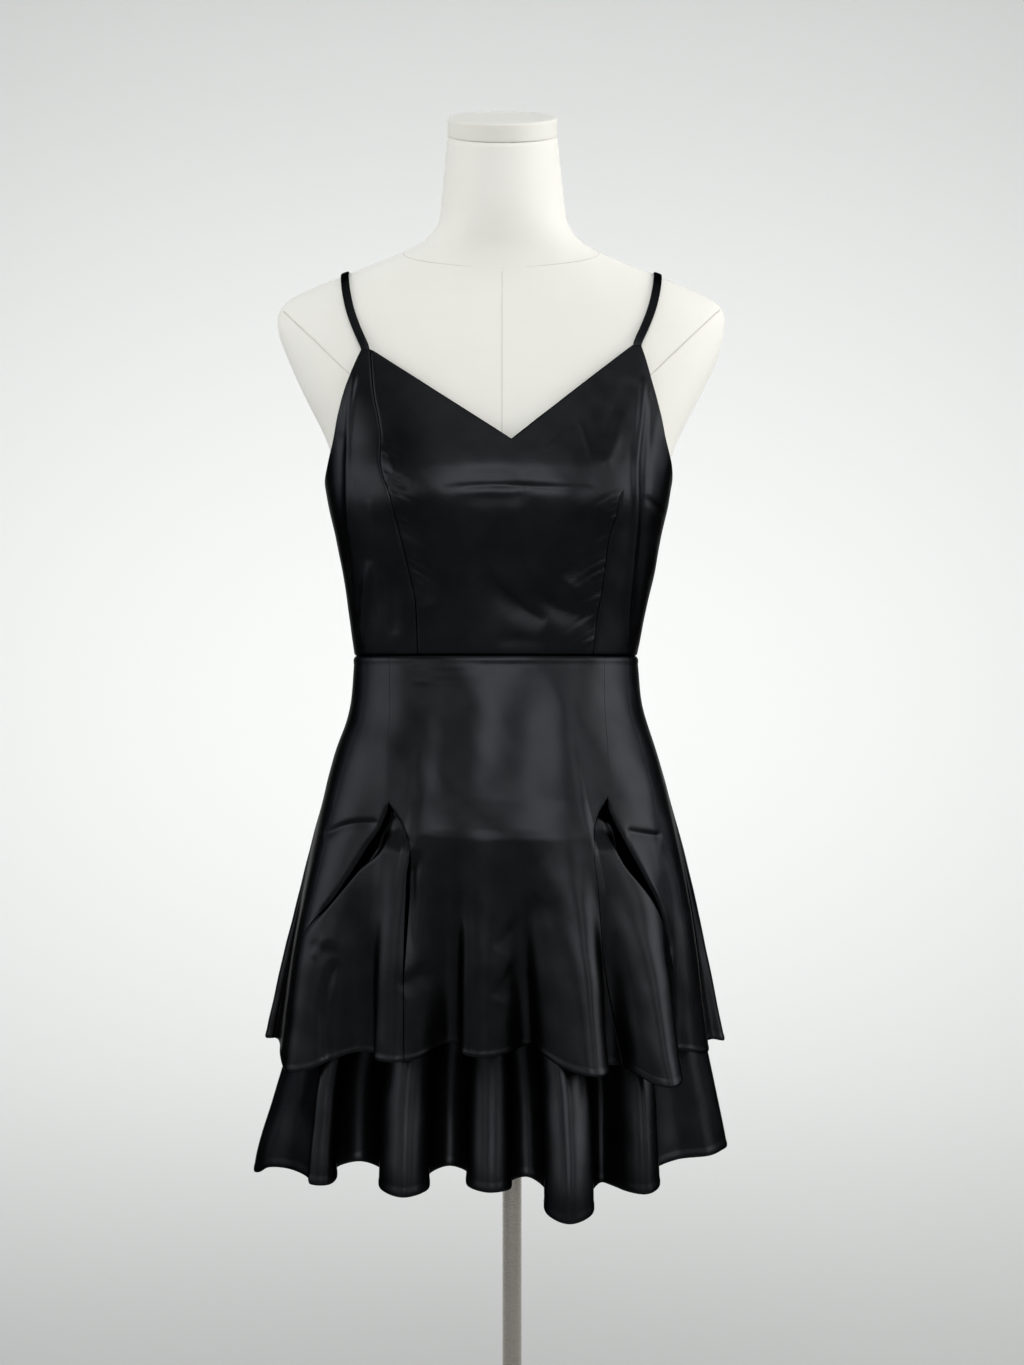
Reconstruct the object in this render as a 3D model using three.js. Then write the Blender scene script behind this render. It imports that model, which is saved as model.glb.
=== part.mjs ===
// A tiered mini dress with thin shoulder straps, worn by a limbless dress form on a round-footed stand.
// Millimetres, +Z up, the dress faces -Y, and the origin is the centre of the foot's underside.
// Every satin panel is a thin wall on one of three shapes: the bodice and the skirt's two tiers.
import * as THREE from "three";

// ---------- Driving sizes ----------
const SATIN = 1.2; // thickness of a panel
const GAP = 0.4; // clearance between neighbouring pieces, a little over 0.3 where a seam bends
const WAIST_Z = 924; // waist seam
const UPPER_HEM_Z = 576;
const LOWER_HEM_Z = 474;
const LOWER_TOP_Z = 912; // top edge of the lower tier, sewn inside the upper one
const STRAP_WIDTH = 7.5;
const STRAP_THICKNESS = 2;
const STRAP_CLEARANCE = 1.2; // between a strap and the form
const POLE_RADIUS = 8.6;
const FOOT_RADIUS = 165;
const FOOT_HEIGHT = 12;
const COLLAR_HEIGHT = 46;
const COLLAR_RADIUS = 13;

const DEGREE = Math.PI / 180;
const lerp = THREE.MathUtils.lerp;
const clamp = THREE.MathUtils.clamp;
const smooth = THREE.MathUtils.smoothstep;
const wrap = (angle) => ((angle + 540) % 360) - 180; // a bearing from -180 to 180

// ---------- Sections, from the bottom up. Sizes are measured from the axis x = 0, y = 0 ----------
// left and right are the x of the two sides, front and back the reach in y, power the squareness.
const FORM = [
  { z: 676, left: -146, right: 122, front: 72, back: 82, power: 2.2 },
  { z: 681, left: -151, right: 127, front: 79, back: 90, power: 2.2 },
  { z: 700, left: -153, right: 129, front: 84, back: 97, power: 2.2 },
  { z: 745, left: -153, right: 129, front: 86, back: 100, power: 2.2 },
  { z: 800, left: -147, right: 123, front: 85, back: 97, power: 2.2 },
  { z: 860, left: -137, right: 111, front: 80, back: 88, power: 2.15 },
  { z: 924, left: -127, right: 101, front: 75, back: 77, power: 2.1 },
  { z: 980, left: -134, right: 110, front: 81, back: 82, power: 2.1 },
  { z: 1035, left: -149, right: 126, front: 89, back: 91, power: 2.2 },
  { z: 1070, left: -156, right: 134, front: 91, back: 95, power: 2.3 },
  { z: 1107, left: -162, right: 144, front: 87, back: 96, power: 2.4 },
  { z: 1150, left: -183, right: 165, front: 79, back: 93, power: 2.5 },
  { z: 1197, left: -204, right: 187, front: 66, back: 84, power: 2.5 },
  { z: 1218, left: -211, right: 191, front: 59, back: 77, power: 2.4 },
  { z: 1232, left: -211, right: 192, front: 54, back: 71, power: 2.2 },
  { z: 1243, left: -203, right: 183, front: 49, back: 66, power: 2 },
  { z: 1254, left: -180, right: 159, front: 46, back: 62, power: 1.85 },
  { z: 1266, left: -150, right: 130, front: 44, back: 59, power: 1.75 },
  { z: 1280, left: -113, right: 94, front: 44, back: 56, power: 1.75 },
  { z: 1295, left: -79, right: 62, front: 48, back: 54, power: 1.9 },
  { z: 1312, left: -66, right: 50, front: 52, back: 50, power: 2 },
  { z: 1345, left: -60, right: 43, front: 60, back: 39, power: 2 },
];
const BODICE = [
  { z: 924, left: -140, right: 111, front: 91, back: 90, power: 2.3 },
  { z: 960, left: -145, right: 118, front: 95.5, back: 92, power: 2.35 },
  { z: 1000, left: -151, right: 127, front: 102.5, back: 96, power: 2.4 },
  { z: 1030, left: -157, right: 132.5, front: 109, back: 100, power: 2.45 },
  { z: 1060, left: -163.5, right: 139, front: 112.5, back: 104, power: 2.5 },
  { z: 1081, left: -167, right: 143, front: 110, back: 106, power: 2.5 },
  { z: 1107, left: -169, right: 150, front: 101.5, back: 106, power: 2.5 },
  { z: 1150, left: -189, right: 171, front: 87, back: 104, power: 2.5 },
  { z: 1195, left: -210, right: 193, front: 73, back: 98, power: 2.5 },
];
const UPPER = [
  { z: 576, left: -209, right: 180, front: 123, back: 148, power: 2.3 },
  { z: 640, left: -199, right: 170, front: 121, back: 141, power: 2.35 },
  { z: 700, left: -188, right: 161, front: 118, back: 134, power: 2.45 },
  { z: 768, left: -174, right: 147, front: 113, back: 124, power: 2.5 },
  { z: 830, left: -159, right: 131, front: 106, back: 112, power: 2.45 },
  { z: 885, left: -143, right: 115, front: 97, back: 98, power: 2.35 },
  { z: 924, left: -140, right: 111, front: 91, back: 90, power: 2.3 },
];
const LOWER = [
  { z: 474, left: -222, right: 184, front: 124, back: 150, power: 2.3 },
  { z: 576, left: -192, right: 164, front: 101, back: 110, power: 2.3 },
  { z: 700, left: -168, right: 142, front: 93, back: 109, power: 2.25 },
  { z: 768, left: -158, right: 134, front: 92, back: 106, power: 2.25 },
  { z: 830, left: -149, right: 124, front: 91, back: 99, power: 2.25 },
  { z: 885, left: -138.5, right: 111, front: 86, back: 88, power: 2.25 },
  { z: 924, left: -136, right: 107, front: 85, back: 84, power: 2.3 },
];
const AXIS_X = -15; // the skirt's own middle, which its folds run down from

// ---------- Hem folds, round the skirt from the back's middle by the wearer's right side ----------
// x, y: where the fold's crest reaches. face: the way it faces, 0 for -Y and 90 for +X, in degrees.
// left, right: half-widths. dipLeft, dipRight: how far the hollows beside it lie behind the crest.
// drop: how far the hem hangs below its usual height. start: height where the fold begins.
// rise: how far the hem lies above its usual height in the hollow on the fold's right.
// growth: 1 where the fold grows evenly from its start to the hem, more where it opens late.
const UPPER_FOLDS = [
  { x: -20, y: 163, face: 180, left: 26, right: 26, dipLeft: 26, dipRight: 28,
    drop: 3, start: 850, rise: 6, growth: 1.4 },
  { x: -96, y: 152, face: 208, left: 27, right: 25, dipLeft: 28, dipRight: 30,
    drop: 0, start: 860, rise: 6, growth: 1.4 },
  { x: -165, y: 118, face: 235, left: 25, right: 25, dipLeft: 30, dipRight: 24,
    drop: 4, start: 850, rise: 5, growth: 1.5 },
  { x: -223, y: 28, face: 265, left: 26, right: 22, dipLeft: 24, dipRight: 13,
    drop: -3, start: 900, rise: 4, growth: 1.6 },
  { x: -190, y: -90, face: 305, left: 25, right: 28, dipLeft: 7, dipRight: 34,
    drop: 9, start: 900, rise: 9, growth: 1.5 },
  { x: -98, y: -125, face: 0, left: 17, right: 34, dipLeft: 36, dipRight: 28,
    drop: -6, start: 800, rise: 18, growth: 1.15 },
  { x: -24, y: -124, face: 0, left: 18, right: 34, dipLeft: 28, dipRight: 28,
    drop: -10, start: 800, rise: 19, growth: 1.15 },
  { x: 70, y: -147, face: 8, left: 40, right: 12, dipLeft: 42, dipRight: 44,
    drop: 2, start: 800, rise: 1, growth: 1.15 },
  { x: 134, y: -131, face: 22, left: 25, right: 15, dipLeft: 24, dipRight: 44,
    drop: 14, start: 800, rise: 7, growth: 1.3 },
  { x: 171, y: -46, face: 72, left: 28, right: 15, dipLeft: 10, dipRight: 14,
    drop: 0, start: 880, rise: 3, growth: 1.5 },
  { x: 192, y: 26, face: 95, left: 18, right: 24, dipLeft: 12, dipRight: 24,
    drop: 0, start: 900, rise: 5, growth: 1.5 },
  { x: 142, y: 108, face: 126, left: 25, right: 25, dipLeft: 26, dipRight: 28,
    drop: 3, start: 850, rise: 6, growth: 1.4 },
  { x: 62, y: 151, face: 156, left: 26, right: 26, dipLeft: 30, dipRight: 28,
    drop: 0, start: 860, rise: 6, growth: 1.4 },
];
const LOWER_FOLDS = [
  { x: -12, y: 172, face: 180, left: 19, right: 19, dipLeft: 52, dipRight: 54,
    drop: -4, start: 740, rise: 6, growth: 1.9 },
  { x: -82, y: 166, face: 198, left: 20, right: 18, dipLeft: 54, dipRight: 50,
    drop: 2, start: 740, rise: 6, growth: 1.9 },
  { x: -152, y: 136, face: 222, left: 19, right: 19, dipLeft: 52, dipRight: 46,
    drop: -3, start: 740, rise: 6, growth: 1.9 },
  { x: -206, y: 80, face: 246, left: 19, right: 19, dipLeft: 44, dipRight: 36,
    drop: 2, start: 740, rise: 4, growth: 1.9 },
  { x: -230, y: -12, face: 278, left: 24, right: 34, dipLeft: 36, dipRight: 14,
    drop: 10, start: 880, rise: 5, growth: 1.8 },
  { x: -158, y: -105, face: 4, left: 14, right: 7.5, dipLeft: 9, dipRight: 50,
    drop: 0, start: 720, rise: 8, growth: 1.3 },
  { x: -91, y: -130, face: 0, left: 20, right: 19, dipLeft: 76, dipRight: 58,
    drop: 4, start: 720, rise: 8, growth: 1.3 },
  { x: -19, y: -122, face: 0, left: 18, right: 17, dipLeft: 52, dipRight: 28,
    drop: 2, start: 720, rise: 4, growth: 1.3 },
  { x: 47, y: -156, face: 0, left: 18, right: 19, dipLeft: 64, dipRight: 62,
    drop: 19, start: 700, rise: 0, growth: 1.3 },
  { x: 113, y: -115, face: 4, left: 26, right: 13, dipLeft: 22, dipRight: 60,
    drop: 5, start: 720, rise: 7, growth: 1.3 },
  { x: 195, y: 2, face: 84, left: 34, right: 22, dipLeft: 20, dipRight: 40,
    drop: -9, start: 820, rise: 4, growth: 1.6 },
  { x: 168, y: 96, face: 118, left: 19, right: 19, dipLeft: 44, dipRight: 48,
    drop: 3, start: 740, rise: 6, growth: 1.9 },
  { x: 116, y: 146, face: 142, left: 19, right: 19, dipLeft: 50, dipRight: 45,
    drop: -3, start: 740, rise: 6, growth: 1.9 },
  { x: 52, y: 170, face: 164, left: 19, right: 19, dipLeft: 46, dipRight: 52,
    drop: 3, start: 740, rise: 6, growth: 1.9 },
];
// How soon the folds have their full depth. Above 1 they have it well above the hem.
const UPPER_SETTLE = 1;
const LOWER_SETTLE = 2;
const LOWER_FREE_Z = 700; // below this height the lower tier's front hangs straight down

// ---------- Front seams and godets ----------
// Each seam runs straight from the waist to its release, then parts, and a godet opens between its edges.
// edge: x of the side panel's edge. crest: x where the godet comes level. inner: x of the centre's edge.
// groove: depth of the hollow beside the side panel, slot: depth of the one beside the centre panel.
const LEFT_SEAM = [
  { z: 924, edge: -105.5, crest: -105.5, inner: -105.5, groove: 0, slot: 0 },
  { z: 798, edge: -104.4, crest: -104.4, inner: -104.4, groove: 0, slot: 0 },
  { z: 778, edge: -112.6, crest: -104.4, inner: -92.5, groove: 12, slot: 0 },
  { z: 761, edge: -123.5, crest: -106, inner: -84.5, groove: 15, slot: 0 },
  { z: 739, edge: -136, crest: -127.6, inner: -87.5, groove: 13, slot: 6 },
  { z: 717, edge: -148.7, crest: -143.5, inner: -88, groove: 6, slot: 6 },
  { z: 695, edge: -163, crest: -158, inner: -88.5, groove: 1.2, slot: 5 },
  { z: 672, edge: -175, crest: -171, inner: -88.6, groove: 0, slot: 3 },
  { z: 640, edge: -182, crest: -180, inner: -88, groove: 0, slot: 0 },
  { z: 576, edge: -189, crest: -187, inner: -86.5, groove: 0, slot: 0 },
];
const RIGHT_SEAM = [
  { z: 924, edge: 79.3, crest: 79.3, inner: 79.3, groove: 0, slot: 0 },
  { z: 802, edge: 80.9, crest: 80.9, inner: 80.9, groove: 0, slot: 0 },
  { z: 789, edge: 84.7, crest: 80.9, inner: 74, groove: 8, slot: 0 },
  { z: 768, edge: 94, crest: 80.9, inner: 67.8, groove: 14, slot: 0 },
  { z: 746, edge: 104.5, crest: 88.5, inner: 66.5, groove: 17, slot: 0 },
  { z: 729, edge: 113, crest: 101, inner: 68, groove: 16, slot: 0 },
  { z: 710, edge: 124, crest: 114.6, inner: 69.3, groove: 13, slot: 0 },
  { z: 690, edge: 132.5, crest: 126.5, inner: 70.5, groove: 9, slot: 0 },
  { z: 672, edge: 137.8, crest: 135, inner: 71.5, groove: 4, slot: 0 },
  { z: 650, edge: 140.5, crest: 139, inner: 74, groove: 0, slot: 0 },
  { z: 576, edge: 144, crest: 142, inner: 81, groove: 0, slot: 0 },
];
const CREASE = { from: 761, to: 769 }; // heights of the pressed crease where the godets come level
const OPEN_DEPTH = 9; // depth of the openings above the crease
const LIP = 2.2; // how far a free edge rolls in
const LIP_WIDTH = 1.3; // and how wide the roll is, in degrees
const SIDE_SEAM = 90; // the side seams' bearing, left and right, in degrees

// ---------- Bodice edges ----------
const NECK_POINT = { x: -0.5, z: 1106 }; // bottom of the V
// The neckline's ends, where the straps are sewn on. bow: how far the neckline curves up on its way there.
const APEX_LEFT = { x: -122.5, z: 1188.5, bow: 0 };
const APEX_RIGHT = { x: 104.5, z: 1192, bow: 0.5 };
// The armholes and the back edge by bearing. Each armhole starts with the strap's own width.
const ARMHOLE_LEFT = [
  { angle: -180, z: 1068 },
  { angle: -142, z: 1083 },
  { angle: -106, z: 1076 },
  { angle: -92, z: 1073 },
  { angle: -83.5, z: 1077 },
  { angle: -75.5, z: 1087 },
  { angle: -69.25, z: 1112 },
  { angle: -65, z: 1137 },
  { angle: -62.75, z: 1162 },
  { angle: -60.9, z: 1188.5 },
];
const ARMHOLE_RIGHT = [
  { angle: 62.3, z: 1192 },
  { angle: 63, z: 1162 },
  { angle: 64.7, z: 1136 },
  { angle: 68.5, z: 1111 },
  { angle: 75, z: 1092 },
  { angle: 83, z: 1080 },
  { angle: 92, z: 1074 },
  { angle: 106, z: 1076 },
  { angle: 142, z: 1083 },
  { angle: 180, z: 1068 },
];
// The one princess seam, from the left strap to the waist.
const PRINCESS = [
  { z: 924, x: -80.8 },
  { z: 965, x: -82.5 },
  { z: 983, x: -85.9 },
  { z: 1009, x: -91.7 },
  { z: 1035, x: -98.6 },
  { z: 1059, x: -103.7 },
  { z: 1079, x: -110.7 },
  { z: 1092, x: -112.7 },
  { z: 1108, x: -112.2 },
  { z: 1124, x: -114.2 },
  { z: 1154, x: -119.8 },
  { z: 1186, x: -122.5 },
];
// frontX, frontZ: where a strap meets the front. topX: where it crosses the shoulder.
// back: its bearing on the back edge.
const STRAPS = [
  { name: "strap_left", frontX: -126, frontZ: 1188.5, topX: -150, back: -142 },
  { name: "strap_right", frontX: 107.8, frontZ: 1192, topX: 131, back: 142 },
];

// ---------- Curves and sections ----------
// A column of a table, read by another column, in monotone cubic steps that never swing past the rows.
function column(rows, key, value, by = "z") {
  const list = rows[0][by] < rows[rows.length - 1][by] ? rows : [...rows].reverse();
  const last = list.length - 1;
  if (value <= list[0][by]) return list[0][key];
  if (value >= list[last][by]) return list[last][key];
  const slope = (i) => (list[i + 1][key] - list[i][key]) / (list[i + 1][by] - list[i][by]);
  const tangent = (i) => {
    if (i === 0) return slope(0);
    if (i === last) return slope(last - 1);
    const [a, b] = [slope(i - 1), slope(i)];
    return a * b <= 0 ? 0 : (2 * a * b) / (a + b);
  };
  const i = list.findIndex((row) => row[by] > value) - 1;
  const span = list[i + 1][by] - list[i][by];
  const t = (value - list[i][by]) / span;
  const [t2, t3] = [t * t, t * t * t];
  return (
    (2 * t3 - 3 * t2 + 1) * list[i][key] +
    (t3 - 2 * t2 + t) * span * tangent(i) +
    (3 * t2 - 2 * t3) * list[i + 1][key] +
    (t3 - t2) * span * tangent(i + 1)
  );
}

// A point of a section in a direction from the point x = middle on its axis.
function sectionPoint(rows, angle, z, middle) {
  const [s, c] = [Math.sin(angle * DEGREE), -Math.cos(angle * DEGREE)];
  const wide = Math.abs(column(rows, s < 0 ? "left" : "right", z) - middle);
  const deep = column(rows, c < 0 ? "front" : "back", z);
  const power = column(rows, "power", z);
  const reach = ((Math.abs(s) / wide) ** power + (Math.abs(c) / deep) ** power) ** (-1 / power);
  return { x: middle + reach * s, y: reach * c };
}

// A point of a skirt's section. Below freeZ its front hangs straight down, and doesn't spread sideways.
function hangingPoint(rows, angle, z, freeZ) {
  const hemZ = rows[0].z;
  const p = sectionPoint(rows, angle, z, AXIS_X);
  const spread = sectionPoint(rows, angle, hemZ, AXIS_X).x - p.x;
  const free = smooth(freeZ - z, 0, freeZ - hemZ - 60) * smooth(Math.cos(angle * DEGREE), 0.1, 0.75);
  return { x: p.x + spread * free, y: p.y };
}
const upperPoint = (angle, z) => hangingPoint(UPPER, angle, z, CREASE.from);
const lowerPoint = (angle, z) => hangingPoint(LOWER, angle, z, LOWER_FREE_Z);

// The bearing, 0 at the front, where a shape's front half reaches an x.
function bearing(pointAt, x, z) {
  let [low, high] = [-90, 90];
  for (let i = 0; i < 40; i++) {
    const mid = (low + high) / 2;
    if (pointAt(mid, z).x < x) low = mid;
    else high = mid;
  }
  return (low + high) / 2;
}

// The points that a hem's curve runs through: five for each fold and one in the hollow after it.
function hemPoints(folds, hemZ) {
  // How far down a fold's side its shoulder and its root lie, as shares of its dip, and how far the hem
  // has climbed there towards the hollow's height.
  const SHOULDER = { share: 0.28, level: 0.2 };
  const ROOT = { share: 0.78, level: 0.7 };
  const BROAD = 24; // a side wider than this slopes instead of standing
  const SLOPE = 0.55; // and its shoulder is this share of its width out
  const corner = (fold, side, share) => {
    const [s, c] = [Math.sin(fold.face * DEGREE), Math.cos(fold.face * DEGREE)];
    const [width, dip] = side < 0 ? [fold.left, fold.dipLeft] : [fold.right, fold.dipRight];
    const out = side * (share === SHOULDER.share && width > BROAD ? SLOPE * width : width);
    return { x: fold.x + c * out - s * share * dip, y: fold.y + s * out + c * share * dip };
  };
  return folds.flatMap((fold, k) => {
    const [before, next] = [folds.at(k - 1), folds[(k + 1) % folds.length]];
    const { start, growth } = fold;
    const z = hemZ - fold.drop;
    const flank = (side, { share, level }) => {
      const hollowZ = hemZ + (side < 0 ? before.rise : fold.rise);
      return { ...corner(fold, side, share), z: lerp(z, hollowZ, level), start, growth };
    };
    const a = corner(fold, 1, 1);
    const b = corner(next, -1, 1);
    const hollow = {
      x: (a.x + b.x) / 2,
      y: (a.y + b.y) / 2,
      z: hemZ + fold.rise,
      start: (start + next.start) / 2,
      growth: (growth + next.growth) / 2,
    };
    const crest = { x: fold.x, y: fold.y, z, start, growth, crest: true };
    return [flank(-1, ROOT), flank(-1, SHOULDER), crest, flank(1, SHOULDER), flank(1, ROOT), hollow];
  });
}

// The hem line of a tier, as a list by the angle that each point of the hem hangs from.
function hemLine(folds, rows, hemZ) {
  const points = hemPoints(folds, hemZ);
  const curve = new THREE.CatmullRomCurve3(
    points.map((p) => new THREE.Vector3(p.x, p.y, p.z)), true, "centripetal");
  const STEPS = 8; // samples on each stretch of the curve
  const samples = [];
  for (let i = 0; i < points.length * STEPS; i++) {
    const p = curve.getPoint(i / (points.length * STEPS));
    const [k, share] = [Math.floor(i / STEPS), (i % STEPS) / STEPS];
    const after = points[(k + 1) % points.length];
    samples.push({
      x: p.x, y: p.y, z: p.z,
      start: lerp(points[k].start, after.start, share),
      growth: lerp(points[k].growth, after.growth, share),
      crest: share === 0 && points[k].crest,
    });
  }
  // A crest hangs straight below its own angle, and the length between two crests is shared out evenly.
  const angleOf = (p) => Math.atan2(p.x - AXIS_X, -p.y) / DEGREE;
  const crests = samples.map((p, i) => (p.crest ? i : -1)).filter((i) => i >= 0);
  const list = [];
  crests.forEach((from, k) => {
    const to = crests[(k + 1) % crests.length];
    const count = (to - from + samples.length) % samples.length;
    const run = [0];
    for (let i = 1; i <= count; i++) {
      const [p, q] = [samples[(from + i - 1) % samples.length], samples[(from + i) % samples.length]];
      run.push(run[i - 1] + Math.hypot(q.x - p.x, q.y - p.y));
    }
    const a = angleOf(samples[from]);
    const turn = (angleOf(samples[to]) - a + 720) % 360;
    for (let i = 0; i < count; i++) {
      const angle = wrap(a + (turn * run[i]) / run[count]);
      list.push({ ...samples[(from + i) % samples.length], angle });
    }
  });
  list.sort((p, q) => p.angle - q.angle);
  return list.map((p) => ({ ...p, base: sectionPoint(rows, p.angle, hemZ, AXIS_X) }));
}

// The hem line at an angle.
function hemAt(line, angle) {
  const a = wrap(angle);
  let i = line.findIndex((p) => p.angle > a);
  if (i < 0) i = line.length;
  const [p, q] = [line[(i - 1 + line.length) % line.length], line[i % line.length]];
  const span = (q.angle - p.angle + 360) % 360;
  const t = ((a - p.angle + 360) % 360) / span;
  const mix = (key) => lerp(p[key], q[key], t);
  return {
    z: mix("z"),
    start: mix("start"),
    growth: mix("growth"),
    dx: lerp(p.x - p.base.x, q.x - q.base.x, t),
    dy: lerp(p.y - p.base.y, q.y - q.base.y, t),
  };
}

const UPPER_HEM = hemLine(UPPER_FOLDS, UPPER, UPPER_HEM_Z);
const LOWER_HEM = hemLine(LOWER_FOLDS, LOWER, LOWER_HEM_Z);

// A seam table with each x turned into a bearing on the upper tier.
function seamBearings(seam) {
  const turn = (row, key) => bearing(upperPoint, row[key], row.z);
  return seam.map((row) => ({
    ...row, edge: turn(row, "edge"), crest: turn(row, "crest"), inner: turn(row, "inner"),
  }));
}
const SEAMS = { left: seamBearings(LEFT_SEAM), right: seamBearings(RIGHT_SEAM) };

// A bearing of a seam at a height. Above the release all three edges are the one straight seam.
function seamAt(seam, key, z) {
  const [waist, release] = seam;
  if (z < release.z) return column(seam.slice(1), key, z);
  return lerp(release.edge, waist.edge, (z - release.z) / (waist.z - release.z));
}

// The roll of a free edge, in depth, at a distance in degrees from it.
function rollIn(away) {
  return LIP * (1 - clamp(Math.abs(away) / LIP_WIDTH, 0, 1)) ** 2;
}

// How far a godet lies behind the skirt's surface. Below the crease it is hollow beside the side panel and
// rolls in at the centre panel. Above the crease it lies in the opening, with a ridge down its middle.
function godetDepth(seam, angle, z) {
  const [edge, crest, inner] = ["edge", "crest", "inner"].map((key) => seamAt(seam, key, z));
  const share = clamp((angle - edge) / (inner - edge || 1), 0, 1);
  const rise = clamp((angle - edge) / (crest - edge || 1), 0, 1);
  const groove = column(seam, "groove", z) * (1 - smooth(rise, 0.1, 1));
  const roll = rollIn(angle - inner) * smooth(column(seam, "slot", z), 0, 4);
  const release = seam[1].z;
  const opened = smooth(release - z, -6, 16);
  const ridge = 1 - 0.35 * opened * (1 - smooth(Math.abs(share - 0.5), 0, 0.3));
  const above = lerp(SATIN + GAP, OPEN_DEPTH, opened) * ridge;
  return lerp(Math.max(groove, roll), above, smooth(z, CREASE.from, CREASE.to));
}

// How far a side or centre panel lies behind the skirt's surface beside a seam. key is "edge" for a side
// panel, which only rolls in, and "inner" for the centre one, which also sinks into the slot.
function panelDepth(seam, angle, z, key) {
  const away = angle - seamAt(seam, key, z);
  if (key === "edge") return rollIn(away) * smooth(column(seam, "groove", z), 0, 6);
  const slot = column(seam, "slot", z) * (1 - smooth(Math.abs(away), 0.6, 4.5));
  const release = seam[1].z;
  const open = smooth(release - z, 0, 20) * smooth(z, CREASE.from, CREASE.to);
  return Math.max(slot, rollIn(away) * open);
}

// A skirt tier's outer surface. angle is the bearing in degrees, and t runs from the top edge, 0, to the
// hem, 1. A fold grows from its start down to the hem.
function tier(pointAt, line, topZ, hemZ, settle, depth) {
  return (angle, t) => {
    const hem = hemAt(line, angle);
    const z = lerp(topZ, hem.z, t);
    const base = pointAt(angle, Math.max(z, hemZ));
    const way = clamp((hem.start - z) / (hem.start - hem.z), 0, 1);
    const grown = (1 - (1 - way) ** settle) ** hem.growth;
    const into = depth(angle, z);
    const [s, c] = [Math.sin(angle * DEGREE), -Math.cos(angle * DEGREE)];
    return new THREE.Vector3(base.x + hem.dx * grown - s * into, base.y + hem.dy * grown - c * into, z);
  };
}

const UPPER_TOP_Z = WAIST_Z - GAP;
const flat = () => 0;
const upperTier = (depth) => tier(upperPoint, UPPER_HEM, UPPER_TOP_Z, UPPER_HEM_Z, UPPER_SETTLE, depth);
const lowerTier = tier(lowerPoint, LOWER_HEM, LOWER_TOP_Z, LOWER_HEM_Z, LOWER_SETTLE, flat);

const BODICE_MIDDLE = -12;
const BODICE_BUST = 4.5; // how far the satin bridges out over each side of the bust
const BUST = { z: 1066, left: -80, right: 60, spread: 36 };

// Two soft rises towards -Y at the bust.
function bustRise(x, z, rise) {
  const bump = (middle) => Math.exp(-((x - middle) ** 2 + (z - BUST.z) ** 2) / (2 * BUST.spread ** 2));
  return -rise * (bump(BUST.left) + bump(BUST.right));
}

const bodiceSection = (angle, z) => sectionPoint(BODICE, angle, z, BODICE_MIDDLE);

// The bodice's surface at a bearing and height. The bust fades out towards the sides.
function bodicePoint(angle, z) {
  const p = bodiceSection(angle, z);
  p.y += bustRise(p.x, z, BODICE_BUST) * smooth(-p.y, 0, 60);
  return new THREE.Vector3(p.x, p.y, z);
}

// The bodice's top edge by bearing: the V between the straps, the armholes and the back.
function bodiceTop(angle) {
  const a = wrap(angle);
  if (a < ARMHOLE_LEFT.at(-1).angle) return column(ARMHOLE_LEFT, "z", a, "angle");
  if (a > ARMHOLE_RIGHT[0].angle) return column(ARMHOLE_RIGHT, "z", a, "angle");
  // The neckline is known by x, so the height is found step by step.
  const FIRST_GUESS = 1150;
  let z = FIRST_GUESS;
  for (let i = 0; i < 8; i++) {
    const x = bodicePoint(a, z).x;
    const apex = x < NECK_POINT.x ? APEX_LEFT : APEX_RIGHT;
    const along = (x - NECK_POINT.x) / (apex.x - NECK_POINT.x);
    const raised = lerp(NECK_POINT.z, apex.z, along) + 4 * apex.bow * along * (1 - along);
    z = Math.min(raised, apex.z);
  }
  return z;
}

const bodice = (angle, t) => bodicePoint(angle, lerp(WAIST_Z, bodiceTop(angle), t));

// ---------- Walls ----------
function geometryOf(points, index) {
  const geometry = new THREE.BufferGeometry().setFromPoints(points);
  geometry.setIndex(index);
  geometry.computeVertexNormals();
  return geometry;
}

// A closed wall between an outer and an inner grid of points, with a rim along each of its four edges.
function solidFromGrid(outer, inner) {
  const [rows, columns] = [outer.length, outer[0].length];
  const points = [...outer.flat(), ...inner.flat()];
  const index = [];
  const quad = (a, b, c, d) => {
    const shorter = points[a].distanceTo(points[c]) <= points[b].distanceTo(points[d]);
    index.push(...(shorter ? [a, b, c, a, c, d] : [a, b, d, b, c, d]));
  };
  const at = (layer, row, col) => (layer * rows + row) * columns + col;
  const [lastRow, lastCol] = [rows - 1, columns - 1];
  for (let i = 0; i < lastRow; i++) {
    for (let j = 0; j < lastCol; j++) {
      quad(at(0, i, j), at(0, i, j + 1), at(0, i + 1, j + 1), at(0, i + 1, j));
      quad(at(1, i, j), at(1, i + 1, j), at(1, i + 1, j + 1), at(1, i, j + 1));
    }
  }
  for (let j = 0; j < lastCol; j++) {
    quad(at(0, 0, j), at(1, 0, j), at(1, 0, j + 1), at(0, 0, j + 1));
    quad(at(0, lastRow, j), at(0, lastRow, j + 1), at(1, lastRow, j + 1), at(1, lastRow, j));
  }
  for (let i = 0; i < lastRow; i++) {
    quad(at(0, i, 0), at(0, i + 1, 0), at(1, i + 1, 0), at(1, i, 0));
    quad(at(0, i, lastCol), at(1, i, lastCol), at(1, i + 1, lastCol), at(0, i + 1, lastCol));
  }
  return geometryOf(points, index);
}

// The outward direction of a surface, from small steps along it. sign is 1 where t runs down it, -1 if up.
function outward(surface, angle, t, sign) {
  const [da, dt] = [0.2, 0.003];
  const across = surface(angle + da, t).sub(surface(angle - da, t));
  const along = surface(angle, Math.min(t + dt, 1)).sub(surface(angle, Math.max(t - dt, 0)));
  return across.cross(along).normalize().multiplyScalar(sign);
}

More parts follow.
